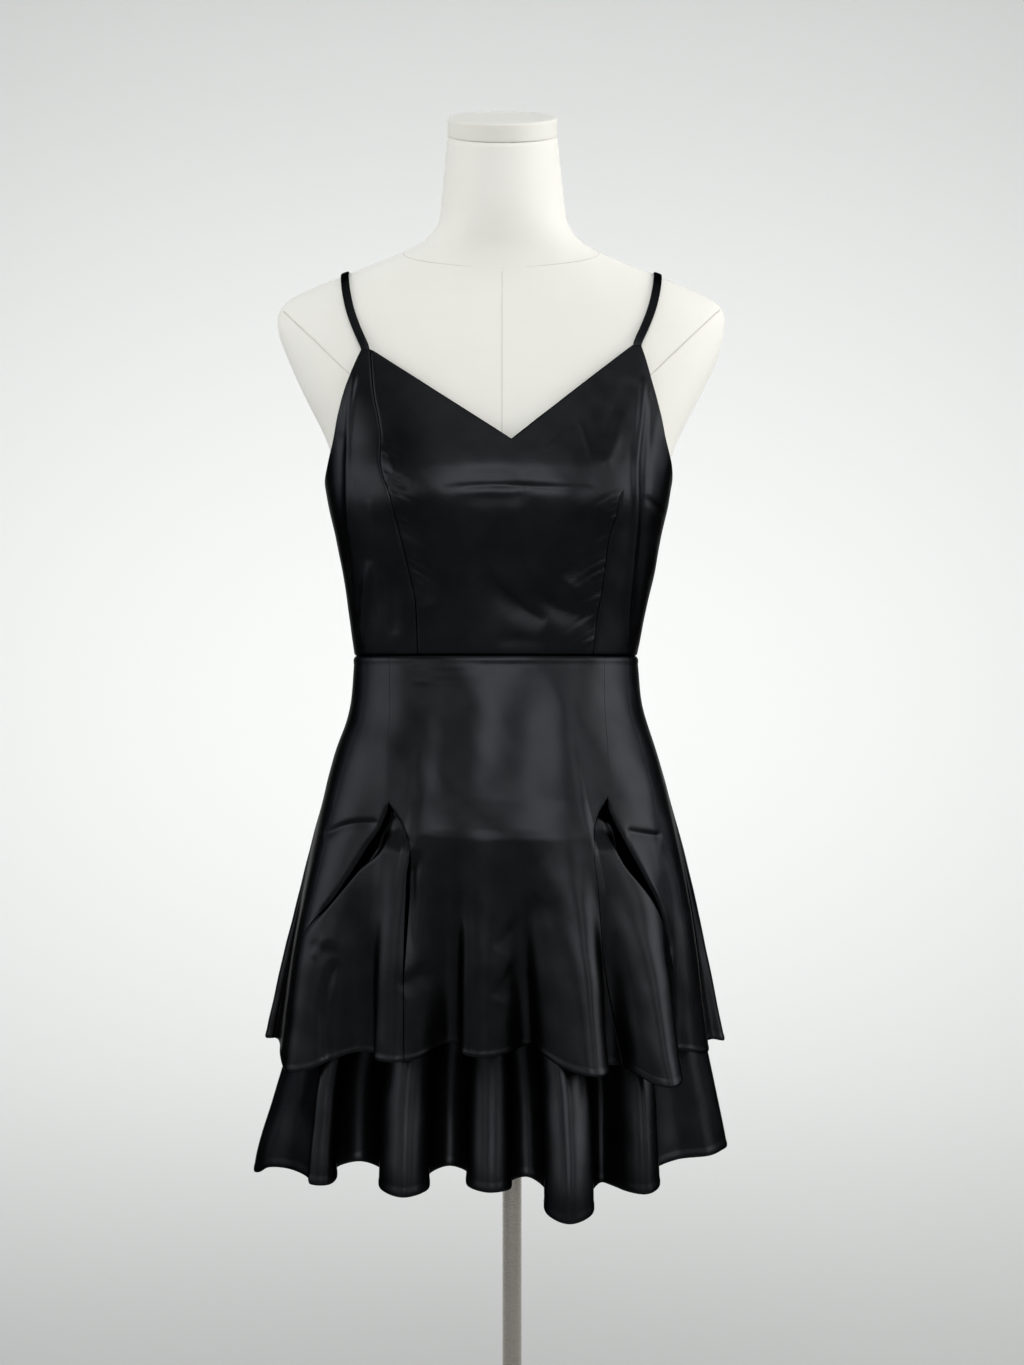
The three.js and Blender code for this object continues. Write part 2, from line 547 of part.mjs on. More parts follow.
// A panel of a surface between its first and last line, each a bearing by t. counts says how many columns
// lie between two lines. They are shared out by length along the row t = guide, and the panel keeps half
// of GAP from each neighbour.
function panel(surface, lines, counts, ts, sign, guide = 1) {
  const spans = counts.map((count, k) => {
    const FINE = 8 * count;
    const [from, to] = [lines[k](guide), lines[k + 1](guide)];
    const run = [0];
    let before = surface(from, guide);
    for (let i = 1; i <= FINE; i++) {
      const p = surface(lerp(from, to, i / FINE), guide);
      run.push(run[i - 1] + p.distanceTo(before));
      before = p;
    }
    return Array.from({ length: count }, (_, j) => {
      const want = (run[FINE] * (j + 1)) / count;
      const i = clamp(run.filter((length) => length < want).length, 1, FINE);
      return (i - 1 + (want - run[i - 1]) / (run[i] - run[i - 1])) / FINE;
    });
  });
  const [outer, inner] = [[], []];
  for (const t of ts) {
    const at = lines.map((line) => line(t));
    const last = at.length - 1;
    const inset = (angle, step) => {
      const moved = surface(angle, t).distanceTo(surface(angle + step, t));
      return ((GAP / 2) * step) / moved;
    };
    at[0] += inset(at[0], 0.1);
    at[last] += inset(at[last], -0.1);
    const angles = [at[0]];
    spans.forEach((shares, k) => shares.forEach((share) => angles.push(lerp(at[k], at[k + 1], share))));
    const row = angles.map((angle) => surface(angle, t));
    outer.push(row);
    inner.push(row.map((p, j) => {
      const normal = outward(surface, angles[j], t, sign);
      if (t === ts[0] || t === ts[ts.length - 1]) normal.setZ(0).normalize();
      return p.clone().addScaledVector(normal, -SATIN);
    }));
  }
  return sign > 0 ? solidFromGrid(outer, inner) : solidFromGrid(outer.reverse(), inner.reverse());
}

const steps = (count) => Array.from({ length: count + 1 }, (_, i) => i / count);
const fixed = (...angles) => angles.map((angle) => () => angle);

// ---------- Materials ----------
const satinMaterial = new THREE.MeshStandardMaterial({ color: 0x121417, roughness: 0.36, metalness: 0 });
const coverMaterial = new THREE.MeshStandardMaterial({ color: 0xe6e4da, roughness: 0.9, metalness: 0 });
const capMaterial = new THREE.MeshStandardMaterial({ color: 0xe4e2d6, roughness: 0.8, metalness: 0 });
const steelMaterial = new THREE.MeshStandardMaterial({ color: 0xb8b2a4, roughness: 0.25, metalness: 1 });

const dress = new THREE.Group();
const stand = new THREE.Group();
function add(group, name, geometry, material) {
  const mesh = new THREE.Mesh(geometry, material);
  mesh.name = name;
  group.add(mesh);
}

// ---------- Skirt ----------
function addUpperTier() {
  // A seam's bearing at t, where the hem's drop moves the height a little.
  const edge = (seam, key) => (t) => {
    let angle = seamAt(seam, key, lerp(UPPER_TOP_Z, UPPER_HEM_Z, t));
    for (let i = 0; i < 3; i++) angle = seamAt(seam, key, lerp(UPPER_TOP_Z, hemAt(UPPER_HEM, angle).z, t));
    return angle;
  };
  const CLEAR = 0.2; // how far, in degrees, a godet keeps from the centre panel's rolled edge
  const clearOf = (line, way) => (t) => line(t) + way * CLEAR;
  const { left, right } = SEAMS;
  const sideDepth = (seam) => (angle, z) => panelDepth(seam, angle, z, "edge");
  const godet = (seam) => (angle, z) => godetDepth(seam, angle, z);
  const centreDepth = (angle, z) =>
    Math.max(panelDepth(left, angle, z, "inner"), panelDepth(right, angle, z, "inner"));
  const rows = [
    0, 0.12, 0.24, 0.34, 0.395, 0.41, 0.43, 0.455, 0.48, 0.53, 0.59, 0.64, 0.69, 0.74, 0.82, 0.91, 1,
  ];
  const godetRows = rows.slice(4); // a godet starts just above the release
  const make = (name, depth, lines, counts, ts) =>
    add(dress, name, panel(upperTier(depth), lines, counts, ts, 1), satinMaterial);
  make("upper_back", flat, fixed(SIDE_SEAM, 135, 180, 225, 360 - SIDE_SEAM), [11, 11, 11, 11], steps(8));
  make("upper_side_left", sideDepth(left), [...fixed(-SIDE_SEAM, -77), edge(left, "edge")], [7, 6], rows);
  make("upper_godet_left", godet(left), [edge(left, "edge"), clearOf(edge(left, "inner"), -1)], [12],
    godetRows);
  make("upper_centre", centreDepth, [edge(left, "inner"), ...fixed(-26, 22), edge(right, "inner")],
    [5, 11, 6], rows);
  make("upper_godet_right", godet(right), [clearOf(edge(right, "inner"), 1), edge(right, "edge")], [12],
    godetRows);
  make("upper_side_right", sideDepth(right), [edge(right, "edge"), ...fixed(66, SIDE_SEAM)], [6, 6], rows);
}

function addLowerTier() {
  const rows = [0, 0.25, 0.45, 0.6, 0.75, 0.88, 1];
  const COLUMNS = 62;
  const make = (name, from, to) =>
    add(dress, name, panel(lowerTier, fixed(from, to), [COLUMNS], rows, 1), satinMaterial);
  make("lower_front", -SIDE_SEAM, SIDE_SEAM);
  make("lower_back", SIDE_SEAM, 360 - SIDE_SEAM);
}

// ---------- Bodice ----------
function addBodice() {
  const princess = (t) => {
    let angle = -50;
    for (let i = 0; i < 6; i++) {
      const z = lerp(WAIST_Z, bodiceTop(angle), t);
      angle = bearing(bodiceSection, column(PRINCESS, "x", z), z);
    }
    return angle;
  };
  const bearingOf = (point) => bearing(bodiceSection, point.x, point.z);
  const make = (name, lines, counts) =>
    add(dress, name, panel(bodice, lines, counts, steps(9), -1), satinMaterial);
  // The lines meet the top edge's corners: the V, the straps' widths and the turns of the armholes.
  make("bodice_side_left", [...fixed(-SIDE_SEAM, -67, -62.8, -60.9), princess], [5, 1, 1, 1]);
  make("bodice_front",
    [princess, ...fixed(bearingOf(NECK_POINT), bearingOf(APEX_RIGHT), 62.3, 63.2, 67, SIDE_SEAM)],
    [10, 10, 1, 1, 1, 5]);
  make("bodice_back_right", fixed(SIDE_SEAM, 180), [10]);
  make("bodice_back_left", fixed(180, 360 - SIDE_SEAM), [10]);
}

// ---------- Dress form ----------
const FORM_MIDDLE = -10;
const FORM_BUST = 19;
const FORM_COLUMNS = 36;
const NECK_TILT = 22 * DEGREE; // the neck's top leans forward
const NECK_TOP = new THREE.Vector3(-8.5, -13, 1388);
const NECK_TOP_RADIUS = 49;
const CAP = { height: 17, bevel: 2.5, round: 0.8 };

// A ring of points, each worked out from the sine and minus the cosine of its turn from the front.
function ringOf(pointAt) {
  return Array.from({ length: FORM_COLUMNS }, (_, i) => {
    const a = (i / FORM_COLUMNS) * 2 * Math.PI;
    return pointAt(Math.sin(a), -Math.cos(a));
  });
}

// A ring of the form, in even steps of the section's own parameter, so thin sections keep their ends.
function formRing(z) {
  const bow = 2 / column(FORM, "power", z);
  return ringOf((s, c) => {
    const wide = Math.abs(column(FORM, s < 0 ? "left" : "right", z) - FORM_MIDDLE);
    const deep = column(FORM, c < 0 ? "front" : "back", z);
    const x = FORM_MIDDLE + Math.sign(s) * wide * Math.abs(s) ** bow;
    const y = Math.sign(c) * deep * Math.abs(c) ** bow;
    return new THREE.Vector3(x, y + (y < 0 ? bustRise(x, z, FORM_BUST) : 0), z);
  });
}

// A ring round the neck's tilted axis, at a distance along it from the neck's top.
function neckRing(radius, along) {
  const [sin, cos] = [Math.sin(NECK_TILT), Math.cos(NECK_TILT)];
  return ringOf((s, c) => new THREE.Vector3(
    NECK_TOP.x + radius * s,
    NECK_TOP.y + radius * c * cos - along * sin,
    NECK_TOP.z + radius * c * sin + along * cos));
}

// A closed solid from rings, with a flat fan at each end.
function loft(rings) {
  const count = rings[0].length;
  const middle = (ring) => ring.reduce((sum, p) => sum.add(p), new THREE.Vector3()).divideScalar(count);
  const points = [...rings.flat(), middle(rings[0]), middle(rings.at(-1))];
  const [low, high] = [points.length - 2, points.length - 1];
  const lastRing = (rings.length - 1) * count;
  const index = [];
  for (let j = 0; j < count; j++) {
    const next = (j + 1) % count;
    for (let from = 0; from < lastRing; from += count) {
      const [a, b] = [from + j, from + next];
      index.push(a, b, b + count, a, b + count, a + count);
    }
    index.push(low, next, j);
    index.push(high, lastRing + j, lastRing + next);
  }
  return geometryOf(points, index);
}

function addForm() {
  const heights = [
    676, 681, 692, 715, 745, 780, 820, 865, 905, 945, 985, 1015, 1040, 1066, 1090, 1118,
    1150, 1180, 1205, 1222, 1233, 1242, 1249, 1257, 1266, 1277, 1288, 1300, 1316,
  ];
  const rings = heights.map(formRing);
  // From the base of the neck each ring turns a little more towards the cap's plane.
  const base = rings.at(-1);
  const top = neckRing(NECK_TOP_RADIUS, 0);
  for (const share of [0.35, 0.7, 1]) rings.push(base.map((p, i) => p.clone().lerp(top[i], share)));
  add(stand, "form_torso", loft(rings), coverMaterial);
  const { height, bevel, round } = CAP;
  const cap = [
    neckRing(NECK_TOP_RADIUS, GAP),
    neckRing(NECK_TOP_RADIUS, height - bevel),
    neckRing(NECK_TOP_RADIUS - round, height - round),
    neckRing(NECK_TOP_RADIUS - bevel, height),
  ];
  add(stand, "form_neck_cap", loft(cap), capMaterial);
}

// ---------- Straps ----------
// How far out of the form a point is: under 1 is inside.
function formLevel(p) {
  const wide = Math.abs(column(FORM, p.x < FORM_MIDDLE ? "left" : "right", p.z) - FORM_MIDDLE);
  const rise = -bustRise(p.x, p.z, FORM_BUST);
  const deep = p.y < 0 ? column(FORM, "front", p.z) + rise : column(FORM, "back", p.z);
  const power = column(FORM, "power", p.z);
  return (Math.abs(p.x - FORM_MIDDLE) / wide) ** power + (Math.abs(p.y) / deep) ** power;
}

// A strap's middle line: from the front apex over the shoulder to the back edge, drawn tight on the form.
// It is worked out round a hub line along x, as a distance from the hub at each turn.
function strapPath(front, back, topX) {
  const SAMPLES = 48;
  const HUB = { y: 5, z: 1150 };
  const FAR = 300; // well outside the form
  const turnOf = (p) => Math.atan2(p.z - HUB.z, p.y - HUB.y);
  const [a0, a1] = [turnOf(front), turnOf(back)];
  // A strap looks straight from the front and from the back.
  const across = (a) => {
    const [p, end] = a > Math.PI / 2 ? [front, a0] : [back, a1];
    return lerp(p.x, topX, (Math.sin(a) - Math.sin(end)) / (1 - Math.sin(end)));
  };
  const all = [];
  for (let i = 0; i <= SAMPLES; i++) {
    const a = lerp(a0, a1, i / SAMPLES);
    const x = across(a);
    let [near, far] = [0, FAR];
    for (let k = 0; k < 30; k++) {
      const mid = (near + far) / 2;
      if (formLevel({ x, y: HUB.y + mid * Math.cos(a), z: HUB.z + mid * Math.sin(a) }) < 1) near = mid;
      else far = mid;
    }
    let reach = near + STRAP_CLEARANCE + STRAP_THICKNESS / 2;
    if (i === 0) reach = Math.hypot(front.y - HUB.y, front.z - HUB.z);
    if (i === SAMPLES) reach = Math.hypot(back.y - HUB.y, back.z - HUB.z);
    all.push({ x, u: reach * Math.cos(a), v: reach * Math.sin(a) });
  }
  // Only the outermost points carry a tight strap.
  const hull = [];
  for (const p of all) {
    while (hull.length > 1) {
      const [c, d] = [hull.at(-2), hull.at(-1)];
      if ((d.u - c.u) * (p.v - d.v) - (d.v - c.v) * (p.u - d.u) < 0) break;
      hull.pop();
    }
    hull.push(p);
  }
  const points = hull.map((p) => new THREE.Vector3(p.x, HUB.y + p.u, HUB.z + p.v));
  return new THREE.CatmullRomCurve3(points, false, "centripetal").getSpacedPoints(30);
}

// The way out of the form at a point.
function formOutward(p) {
  const slope = (x, y, z) => {
    const step = new THREE.Vector3(x, y, z);
    return formLevel(p.clone().add(step)) - formLevel(p.clone().sub(step));
  };
  return new THREE.Vector3(slope(1, 0, 0), slope(0, 1, 0), slope(0, 0, 1)).normalize();
}

// A flat band along a path, laid on the form, with its long edges bevelled.
function strapSolid(points) {
  const [w, h] = [STRAP_WIDTH / 2, STRAP_THICKNESS / 2];
  const outline = [[-1, 0.5], [-0.8, 1], [0.8, 1], [1, 0.5], [1, -0.5], [0.8, -1], [-0.8, -1], [-1, -0.5]];
  const rings = points.map((p, i) => {
    const [before, after] = [points[Math.max(i - 1, 0)], points[Math.min(i + 1, points.length - 1)]];
    const way = after.clone().sub(before).normalize();
    const side = new THREE.Vector3().crossVectors(way, formOutward(p)).normalize();
    const out = new THREE.Vector3().crossVectors(side, way);
    return outline.map(([a, b]) => p.clone().addScaledVector(side, a * w).addScaledVector(out, b * h));
  });
  return loft(rings);
}

function addStraps() {
  for (const { name, frontX, frontZ, topX, back } of STRAPS) {
    const start = bodicePoint(bearing(bodiceSection, frontX, frontZ), frontZ);
    const end = bodice(back, 1);
    start.add(new THREE.Vector3(0, SATIN / 2, STRAP_THICKNESS));
    end.add(new THREE.Vector3(0, -SATIN / 2, STRAP_THICKNESS));
    add(dress, name, strapSolid(strapPath(start, end, topX)), satinMaterial);
  }
}

// ---------- Stand ----------
// A solid turned round the pole's axis from its profile, a list of radius and height.
const turned = (profile, segments) =>
  new THREE.LatheGeometry(profile.map(([r, z]) => new THREE.Vector2(r, z)), segments).rotateX(Math.PI / 2);

function addStand() {
  const EDGE = 3; // bevel of the foot's rim
  const FLANGE = { radius: 22, height: 8, slope: 6 }; // the collar's foot
  const collarBase = FOOT_HEIGHT + GAP;
  const collarTop = collarBase + COLLAR_HEIGHT;
  const poleTop = FORM[0].z - GAP;
  const foot = [
    [0, 0], [FOOT_RADIUS, 0], [FOOT_RADIUS, FOOT_HEIGHT - EDGE], [FOOT_RADIUS - EDGE, FOOT_HEIGHT],
    [0, FOOT_HEIGHT],
  ];
  const collar = [
    [0, collarBase], [FLANGE.radius, collarBase], [FLANGE.radius, collarBase + FLANGE.height],
    [COLLAR_RADIUS, collarBase + FLANGE.height + FLANGE.slope], [COLLAR_RADIUS, collarTop], [0, collarTop],
  ];
  const pole = [
    [0, collarTop + GAP], [POLE_RADIUS, collarTop + GAP], [POLE_RADIUS, poleTop], [0, poleTop],
  ];
  add(stand, "foot", turned(foot, 48), steelMaterial);
  add(stand, "foot_collar", turned(collar, 32), steelMaterial);
  add(stand, "pole", turned(pole, 28), steelMaterial);
}

addUpperTier();
addLowerTier();
addBodice();
addForm();
addStraps();
addStand();

const part = new THREE.Group();
part.add(dress, stand);
export default part;
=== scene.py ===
"""A black satin cami dress with two flared tiers, worn by a covered dress form on a nickel stand."""
import math

import bpy
import numpy as np
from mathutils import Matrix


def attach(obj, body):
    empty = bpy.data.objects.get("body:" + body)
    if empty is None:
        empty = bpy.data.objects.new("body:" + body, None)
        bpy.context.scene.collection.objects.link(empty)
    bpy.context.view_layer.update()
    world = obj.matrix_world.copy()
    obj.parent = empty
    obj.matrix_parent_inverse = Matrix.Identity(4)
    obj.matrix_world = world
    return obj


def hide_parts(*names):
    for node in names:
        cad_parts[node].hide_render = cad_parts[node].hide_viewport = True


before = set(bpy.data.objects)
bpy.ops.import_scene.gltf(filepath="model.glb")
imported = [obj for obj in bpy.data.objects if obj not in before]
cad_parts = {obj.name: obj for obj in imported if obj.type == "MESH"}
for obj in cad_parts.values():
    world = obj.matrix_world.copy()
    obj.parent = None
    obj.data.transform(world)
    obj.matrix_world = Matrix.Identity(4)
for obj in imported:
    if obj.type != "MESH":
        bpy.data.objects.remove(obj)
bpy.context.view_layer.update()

# ---------- Driving sizes, in millimetres like the solids. MM turns them into metres ----------
MM = 0.001
CLOTH = 1.0  # thickness of the satin shells
STANDOFF = 0.15  # of a shell's inside from the shape that it follows
GAP = 0.1  # between neighbouring panels
WAIST_Z = 924
UPPER_TOP_Z = 923.6
UPPER_HEM_Z = 576
LOWER_HEM_Z = 474
LOWER_TOP_Z = 912
AXIS_X = -15  # the skirt's middle
BODICE_MIDDLE = -12
FORM_MIDDLE = -10
SIDE_SEAM = 90  # bearing of the side seams, in degrees

BUST = {"z": 1066, "left": -80, "right": 60, "spread": 36}
BODICE_BUST = 4.5
FORM_BUST = 19


# ---------- Curves and tables ----------
def smooth(value, low, high):
    t = np.clip((value - low) / (high - low), 0, 1)
    return t * t * (3 - 2 * t)


def mix(a, b, t):
    return a + (b - a) * t


def wrap(angle):
    return (angle + 540) % 360 - 180


def unit(vectors):
    return vectors / np.maximum(np.linalg.norm(vectors, axis=-1, keepdims=True), 1e-9)


def lengths(points, axis):
    """The running length along a path (axis 0), or down (0) or across (1) a grid of points."""
    step = np.linalg.norm(np.diff(points, axis=axis), axis=-1)
    zero = np.zeros_like(np.take(step, [0], axis=axis))
    return np.concatenate([zero, np.cumsum(step, axis=axis)], axis=axis)


def evenly(path, count, endpoint=True):
    """A path's points, spaced again in even steps of its length."""
    run = lengths(path, 0)
    places = np.linspace(0, run[-1], count, endpoint=endpoint)
    return np.stack([np.interp(places, run, column) for column in path.T], -1)


def all_round(count):
    """Even turns round a circle, in radians, without the last one."""
    return np.linspace(0, 2 * math.pi, count, endpoint=False)


def hermite(t, a, b, leave, arrive):
    return (
        (2 * t**3 - 3 * t**2 + 1) * a
        + (t**3 - 2 * t**2 + t) * leave
        + (3 * t**2 - 2 * t**3) * b
        + (t**3 - t**2) * arrive
    )


def smooth_curve(xs, ys):
    """A curve through the points in monotone cubic steps, which never swings past them."""
    x, y = np.array(xs, float), np.array(ys, float)
    slope = np.diff(y) / np.diff(x)
    product = slope[:-1] * slope[1:]
    total = np.where(product > 0, slope[:-1] + slope[1:], 1)
    tangent = np.concatenate([slope[:1], np.where(product > 0, 2 * product / total, 0), slope[-1:]])

    def at(value):
        v = np.clip(value, x[0], x[-1])
        i = np.clip(np.searchsorted(x, v, side="right") - 1, 0, len(x) - 2)
        span = x[i + 1] - x[i]
        return hermite((v - x[i]) / span, y[i], y[i + 1], span * tangent[i], span * tangent[i + 1])

    return at


def table(columns, *rows):
    """A smooth curve for each column of a table, by its first column."""
    values = np.array(sorted(rows), float)
    return {
        name: smooth_curve(values[:, 0], values[:, i]) for i, name in enumerate(columns.split()) if i
    }


# Sections from the bottom up: x of the two sides, reach in y of front and back, and the squareness.
SECTION = "z left right front back power"
FORM = table(
    SECTION,
    (676, -146, 122, 72, 82, 2.2),
    (681, -151, 127, 79, 90, 2.2),
    (700, -153, 129, 84, 97, 2.2),
    (745, -153, 129, 86, 100, 2.2),
    (800, -147, 123, 85, 97, 2.2),
    (860, -137, 111, 80, 88, 2.15),
    (924, -127, 101, 75, 77, 2.1),
    (980, -134, 110, 81, 82, 2.1),
    (1035, -149, 126, 89, 91, 2.2),
    (1070, -156, 134, 91, 95, 2.3),
    (1107, -162, 144, 87, 96, 2.4),
    (1150, -183, 165, 79, 93, 2.5),
    (1197, -204, 187, 66, 84, 2.5),
    (1218, -211, 191, 59, 77, 2.4),
    (1232, -211, 192, 54, 71, 2.2),
    (1243, -203, 183, 49, 66, 2),
    (1254, -180, 159, 46, 62, 1.85),
    (1266, -150, 130, 44, 59, 1.75),
    (1280, -113, 94, 44, 56, 1.75),
    (1295, -79, 62, 48, 54, 1.9),
    (1312, -66, 50, 52, 50, 2),
    (1345, -60, 43, 60, 39, 2),
)
BODICE = table(
    SECTION,
    (924, -140, 111, 91, 90, 2.3),
    (960, -145, 118, 95.5, 92, 2.35),
    (1000, -151, 127, 102.5, 96, 2.4),
    (1030, -157, 132.5, 109, 100, 2.45),
    (1060, -163.5, 139, 112.5, 104, 2.5),
    (1081, -167, 143, 110, 106, 2.5),
    (1107, -169, 150, 101.5, 106, 2.5),
    (1150, -189, 171, 87, 104, 2.5),
    (1195, -210, 193, 73, 98, 2.5),
)
UPPER = table(
    SECTION,
    (576, -209, 180, 123, 148, 2.3),
    (640, -199, 170, 121, 141, 2.35),
    (700, -188, 161, 118, 134, 2.45),
    (768, -174, 147, 113, 124, 2.5),
    (830, -159, 131, 106, 112, 2.45),
    (885, -143, 115, 97, 98, 2.35),
    (924, -140, 111, 91, 90, 2.3),
)
LOWER = table(
    SECTION,
    (474, -222, 184, 124, 150, 2.3),
    (576, -192, 164, 101, 110, 2.3),
    (700, -168, 142, 93, 109, 2.25),
    (768, -158, 134, 92, 106, 2.25),
    (830, -149, 124, 91, 99, 2.25),
    (885, -138.5, 111, 86, 88, 2.25),
    (924, -136, 107, 85, 84, 2.3),
)

# Hem folds, round the skirt from the back's middle. x and y: the fold's crest. face: the way it faces.
# left and right: half-widths. The dips: how far the hollows beside it lie behind the crest.
# drop: how far the hem hangs below its usual height. start: height where the fold begins.
# rise: how far the hem lies above its usual height in the hollow on the fold's right.
# growth: 1 where the fold grows evenly from its start to the hem, more where it opens late.
FOLD = "x y face left right dip_left dip_right drop start rise growth".split()
UPPER_FOLDS = (
    (-20, 163, 180, 26, 26, 26, 28, 3, 850, 6, 1.4),
    (-96, 152, 208, 27, 25, 28, 30, 0, 860, 6, 1.4),
    (-165, 118, 235, 25, 25, 30, 24, 4, 850, 5, 1.5),
    (-223, 28, 265, 26, 22, 24, 13, -3, 900, 4, 1.6),
    (-190, -90, 305, 25, 28, 7, 34, 9, 900, 9, 1.5),
    (-98, -125, 0, 17, 34, 36, 28, -6, 800, 18, 1.15),
    (-24, -124, 0, 18, 34, 28, 28, -10, 800, 19, 1.15),
    (70, -147, 8, 40, 12, 42, 44, 2, 800, 1, 1.15),
    (134, -131, 22, 25, 15, 24, 44, 14, 800, 7, 1.3),
    (171, -46, 72, 28, 15, 10, 14, 0, 880, 3, 1.5),
    (192, 26, 95, 18, 24, 12, 24, 0, 900, 5, 1.5),
    (142, 108, 126, 25, 25, 26, 28, 3, 850, 6, 1.4),
    (62, 151, 156, 26, 26, 30, 28, 0, 860, 6, 1.4),
)
LOWER_FOLDS = (
    (-12, 172, 180, 19, 19, 52, 54, -4, 740, 6, 1.9),
    (-82, 166, 198, 20, 18, 54, 50, 2, 740, 6, 1.9),
    (-152, 136, 222, 19, 19, 52, 46, -3, 740, 6, 1.9),
    (-206, 80, 246, 19, 19, 44, 36, 2, 740, 4, 1.9),
    (-230, -12, 278, 24, 34, 36, 14, 10, 880, 5, 1.8),
    (-158, -105, 4, 14, 7.5, 9, 50, 0, 720, 8, 1.3),
    (-91, -130, 0, 20, 19, 76, 58, 4, 720, 8, 1.3),
    (-19, -122, 0, 18, 17, 52, 28, 2, 720, 4, 1.3),
    (47, -156, 0, 18, 19, 64, 62, 19, 700, 0, 1.3),
    (113, -115, 4, 26, 13, 22, 60, 5, 720, 7, 1.3),
    (195, 2, 84, 34, 22, 20, 40, -9, 820, 4, 1.6),
    (168, 96, 118, 19, 19, 44, 48, 3, 740, 6, 1.9),
    (116, 146, 142, 19, 19, 50, 45, -3, 740, 6, 1.9),
    (52, 170, 164, 19, 19, 46, 52, 3, 740, 6, 1.9),
)
HEM_EASE = 8  # over which a skirt stops flaring at its usual hem height
LOWER_FREE_Z = 700  # below this height the lower tier's front hangs straight down

# Front seams. edge: x of the side panel's edge. crest: x where the godet comes level.
# inner: x of the centre panel's edge. groove and slot: depths of the hollows beside the two panels.
SEAM = "z edge crest inner groove slot"
LEFT_SEAM = (
    (924, -105.5, -105.5, -105.5, 0, 0),
    (798, -104.4, -104.4, -104.4, 0, 0),
    (778, -112.6, -104.4, -92.5, 12, 0),
    (761, -123.5, -106, -84.5, 15, 0),
    (739, -136, -127.6, -87.5, 13, 6),
    (717, -148.7, -143.5, -88, 6, 6),
    (695, -163, -158, -88.5, 1.2, 5),
    (672, -175, -171, -88.6, 0, 3),
    (640, -182, -180, -88, 0, 0),
    (576, -189, -187, -86.5, 0, 0),
)
RIGHT_SEAM = (
    (924, 79.3, 79.3, 79.3, 0, 0),
    (802, 80.9, 80.9, 80.9, 0, 0),
    (789, 84.7, 80.9, 74, 8, 0),
    (768, 94, 80.9, 67.8, 14, 0),
    (746, 104.5, 88.5, 66.5, 17, 0),
    (729, 113, 101, 68, 16, 0),
    (710, 124, 114.6, 69.3, 13, 0),
    (690, 132.5, 126.5, 70.5, 9, 0),
    (672, 137.8, 135, 71.5, 4, 0),
    (650, 140.5, 139, 74, 0, 0),
    (576, 144, 142, 81, 0, 0),
)
CREASE = (761, 769)  # heights of the pressed crease
GODET_CREASE = (755, 777)  # heights between which the godets come level, softly
OPEN_DEPTH = 9
LIP = 2.2
LIP_WIDTH = 1.3  # degrees

# Bodice edges.
NECK_POINT = {"x": -0.5, "z": 1106}
APEX_LEFT = {"x": -122.5, "z": 1188.5, "bow": 0}
APEX_RIGHT = {"x": 104.5, "z": 1192, "bow": 0.5}
STRAP_LEFT, STRAP_RIGHT = -60.9, 62.3  # bearings of the two apexes
ARMHOLE_LEFT = table(
    "angle z",
    (-180, 1068),
    (-142, 1083),
    (-106, 1076),
    (-92, 1073),
    (-83.5, 1077),
    (-75.5, 1087),
    (-69.25, 1112),
    (-65, 1137),
    (-62.75, 1162),
    (STRAP_LEFT, 1188.5),
)
ARMHOLE_RIGHT = table(
    "angle z",
    (STRAP_RIGHT, 1192),
    (63, 1162),
    (64.7, 1136),
    (68.5, 1111),
    (75, 1092),
    (83, 1080),
    (92, 1074),
    (106, 1076),
    (142, 1083),
    (180, 1068),
)
PRINCESS = table(
    "z x",
    (924, -80.8),
    (965, -82.5),
    (983, -85.9),
    (1009, -91.7),
    (1035, -98.6),
    (1059, -103.7),
    (1079, -110.7),
    (1092, -112.7),
    (1108, -112.2),
    (1124, -114.2),
    (1154, -119.8),
    (1186, -122.5),
)
DART_TOP = 1065
DART = table(
    "z x",
    (924, 69.8),
    (959, 74),
    (978, 77.4),
    (999, 79.9),
    (1016, 82.5),
    (1043, 89.3),
    (1065, 93.9),
)


# ---------- The shapes that the cloth follows ----------
def reaches(rows, z, middle, left, front):
    """A section's reach in x from its middle and in y, on the sides asked for, and its power."""
    wide = np.abs(np.where(left, rows["left"](z), rows["right"](z)) - middle)
    return wide, np.where(front, rows["front"](z), rows["back"](z)), rows["power"](z)


def section(rows, angle, z, middle):
    """x and y of a section at a bearing from the point x = middle on its axis. 0 is the front."""
    s, c = np.sin(np.radians(angle)), -np.cos(np.radians(angle))
    wide, deep, power = reaches(rows, z, middle, s < 0, c < 0)
    reach = ((np.abs(s) / wide) ** power + (np.abs(c) / deep) ** power) ** (-1 / power)
    return middle + reach * s, reach * c


def hanging(rows, angle, z, hem_z, free_z):
    """x and y of a skirt's section. Below free_z its front hangs straight down, and doesn't spread."""
    x, y = section(rows, angle, z, AXIS_X)
    spread_x = section(rows, angle, hem_z, AXIS_X)[0] - x
    free = smooth(free_z - z, 0, free_z - hem_z - 60) * smooth(np.cos(np.radians(angle)), 0.1, 0.75)
    return x + spread_x * free, y


def bearing(place, x, z):
    """The bearing where a shape's front half reaches an x."""
    low, high = np.full(np.shape(z), -90.0), np.full(np.shape(z), 90.0)
    for _ in range(40):
        half = (low + high) / 2
        short = place(half, z)[0] < x
        low, high = np.where(short, half, low), np.where(short, high, half)
    return (low + high) / 2


def upper_section(angle, z):
    return hanging(UPPER, angle, z, UPPER_HEM_Z, CREASE[0])


def lower_section(angle, z):
    return hanging(LOWER, angle, z, LOWER_HEM_Z, LOWER_FREE_Z)


def bodice_section(angle, z):
    return section(BODICE, angle, z, BODICE_MIDDLE)


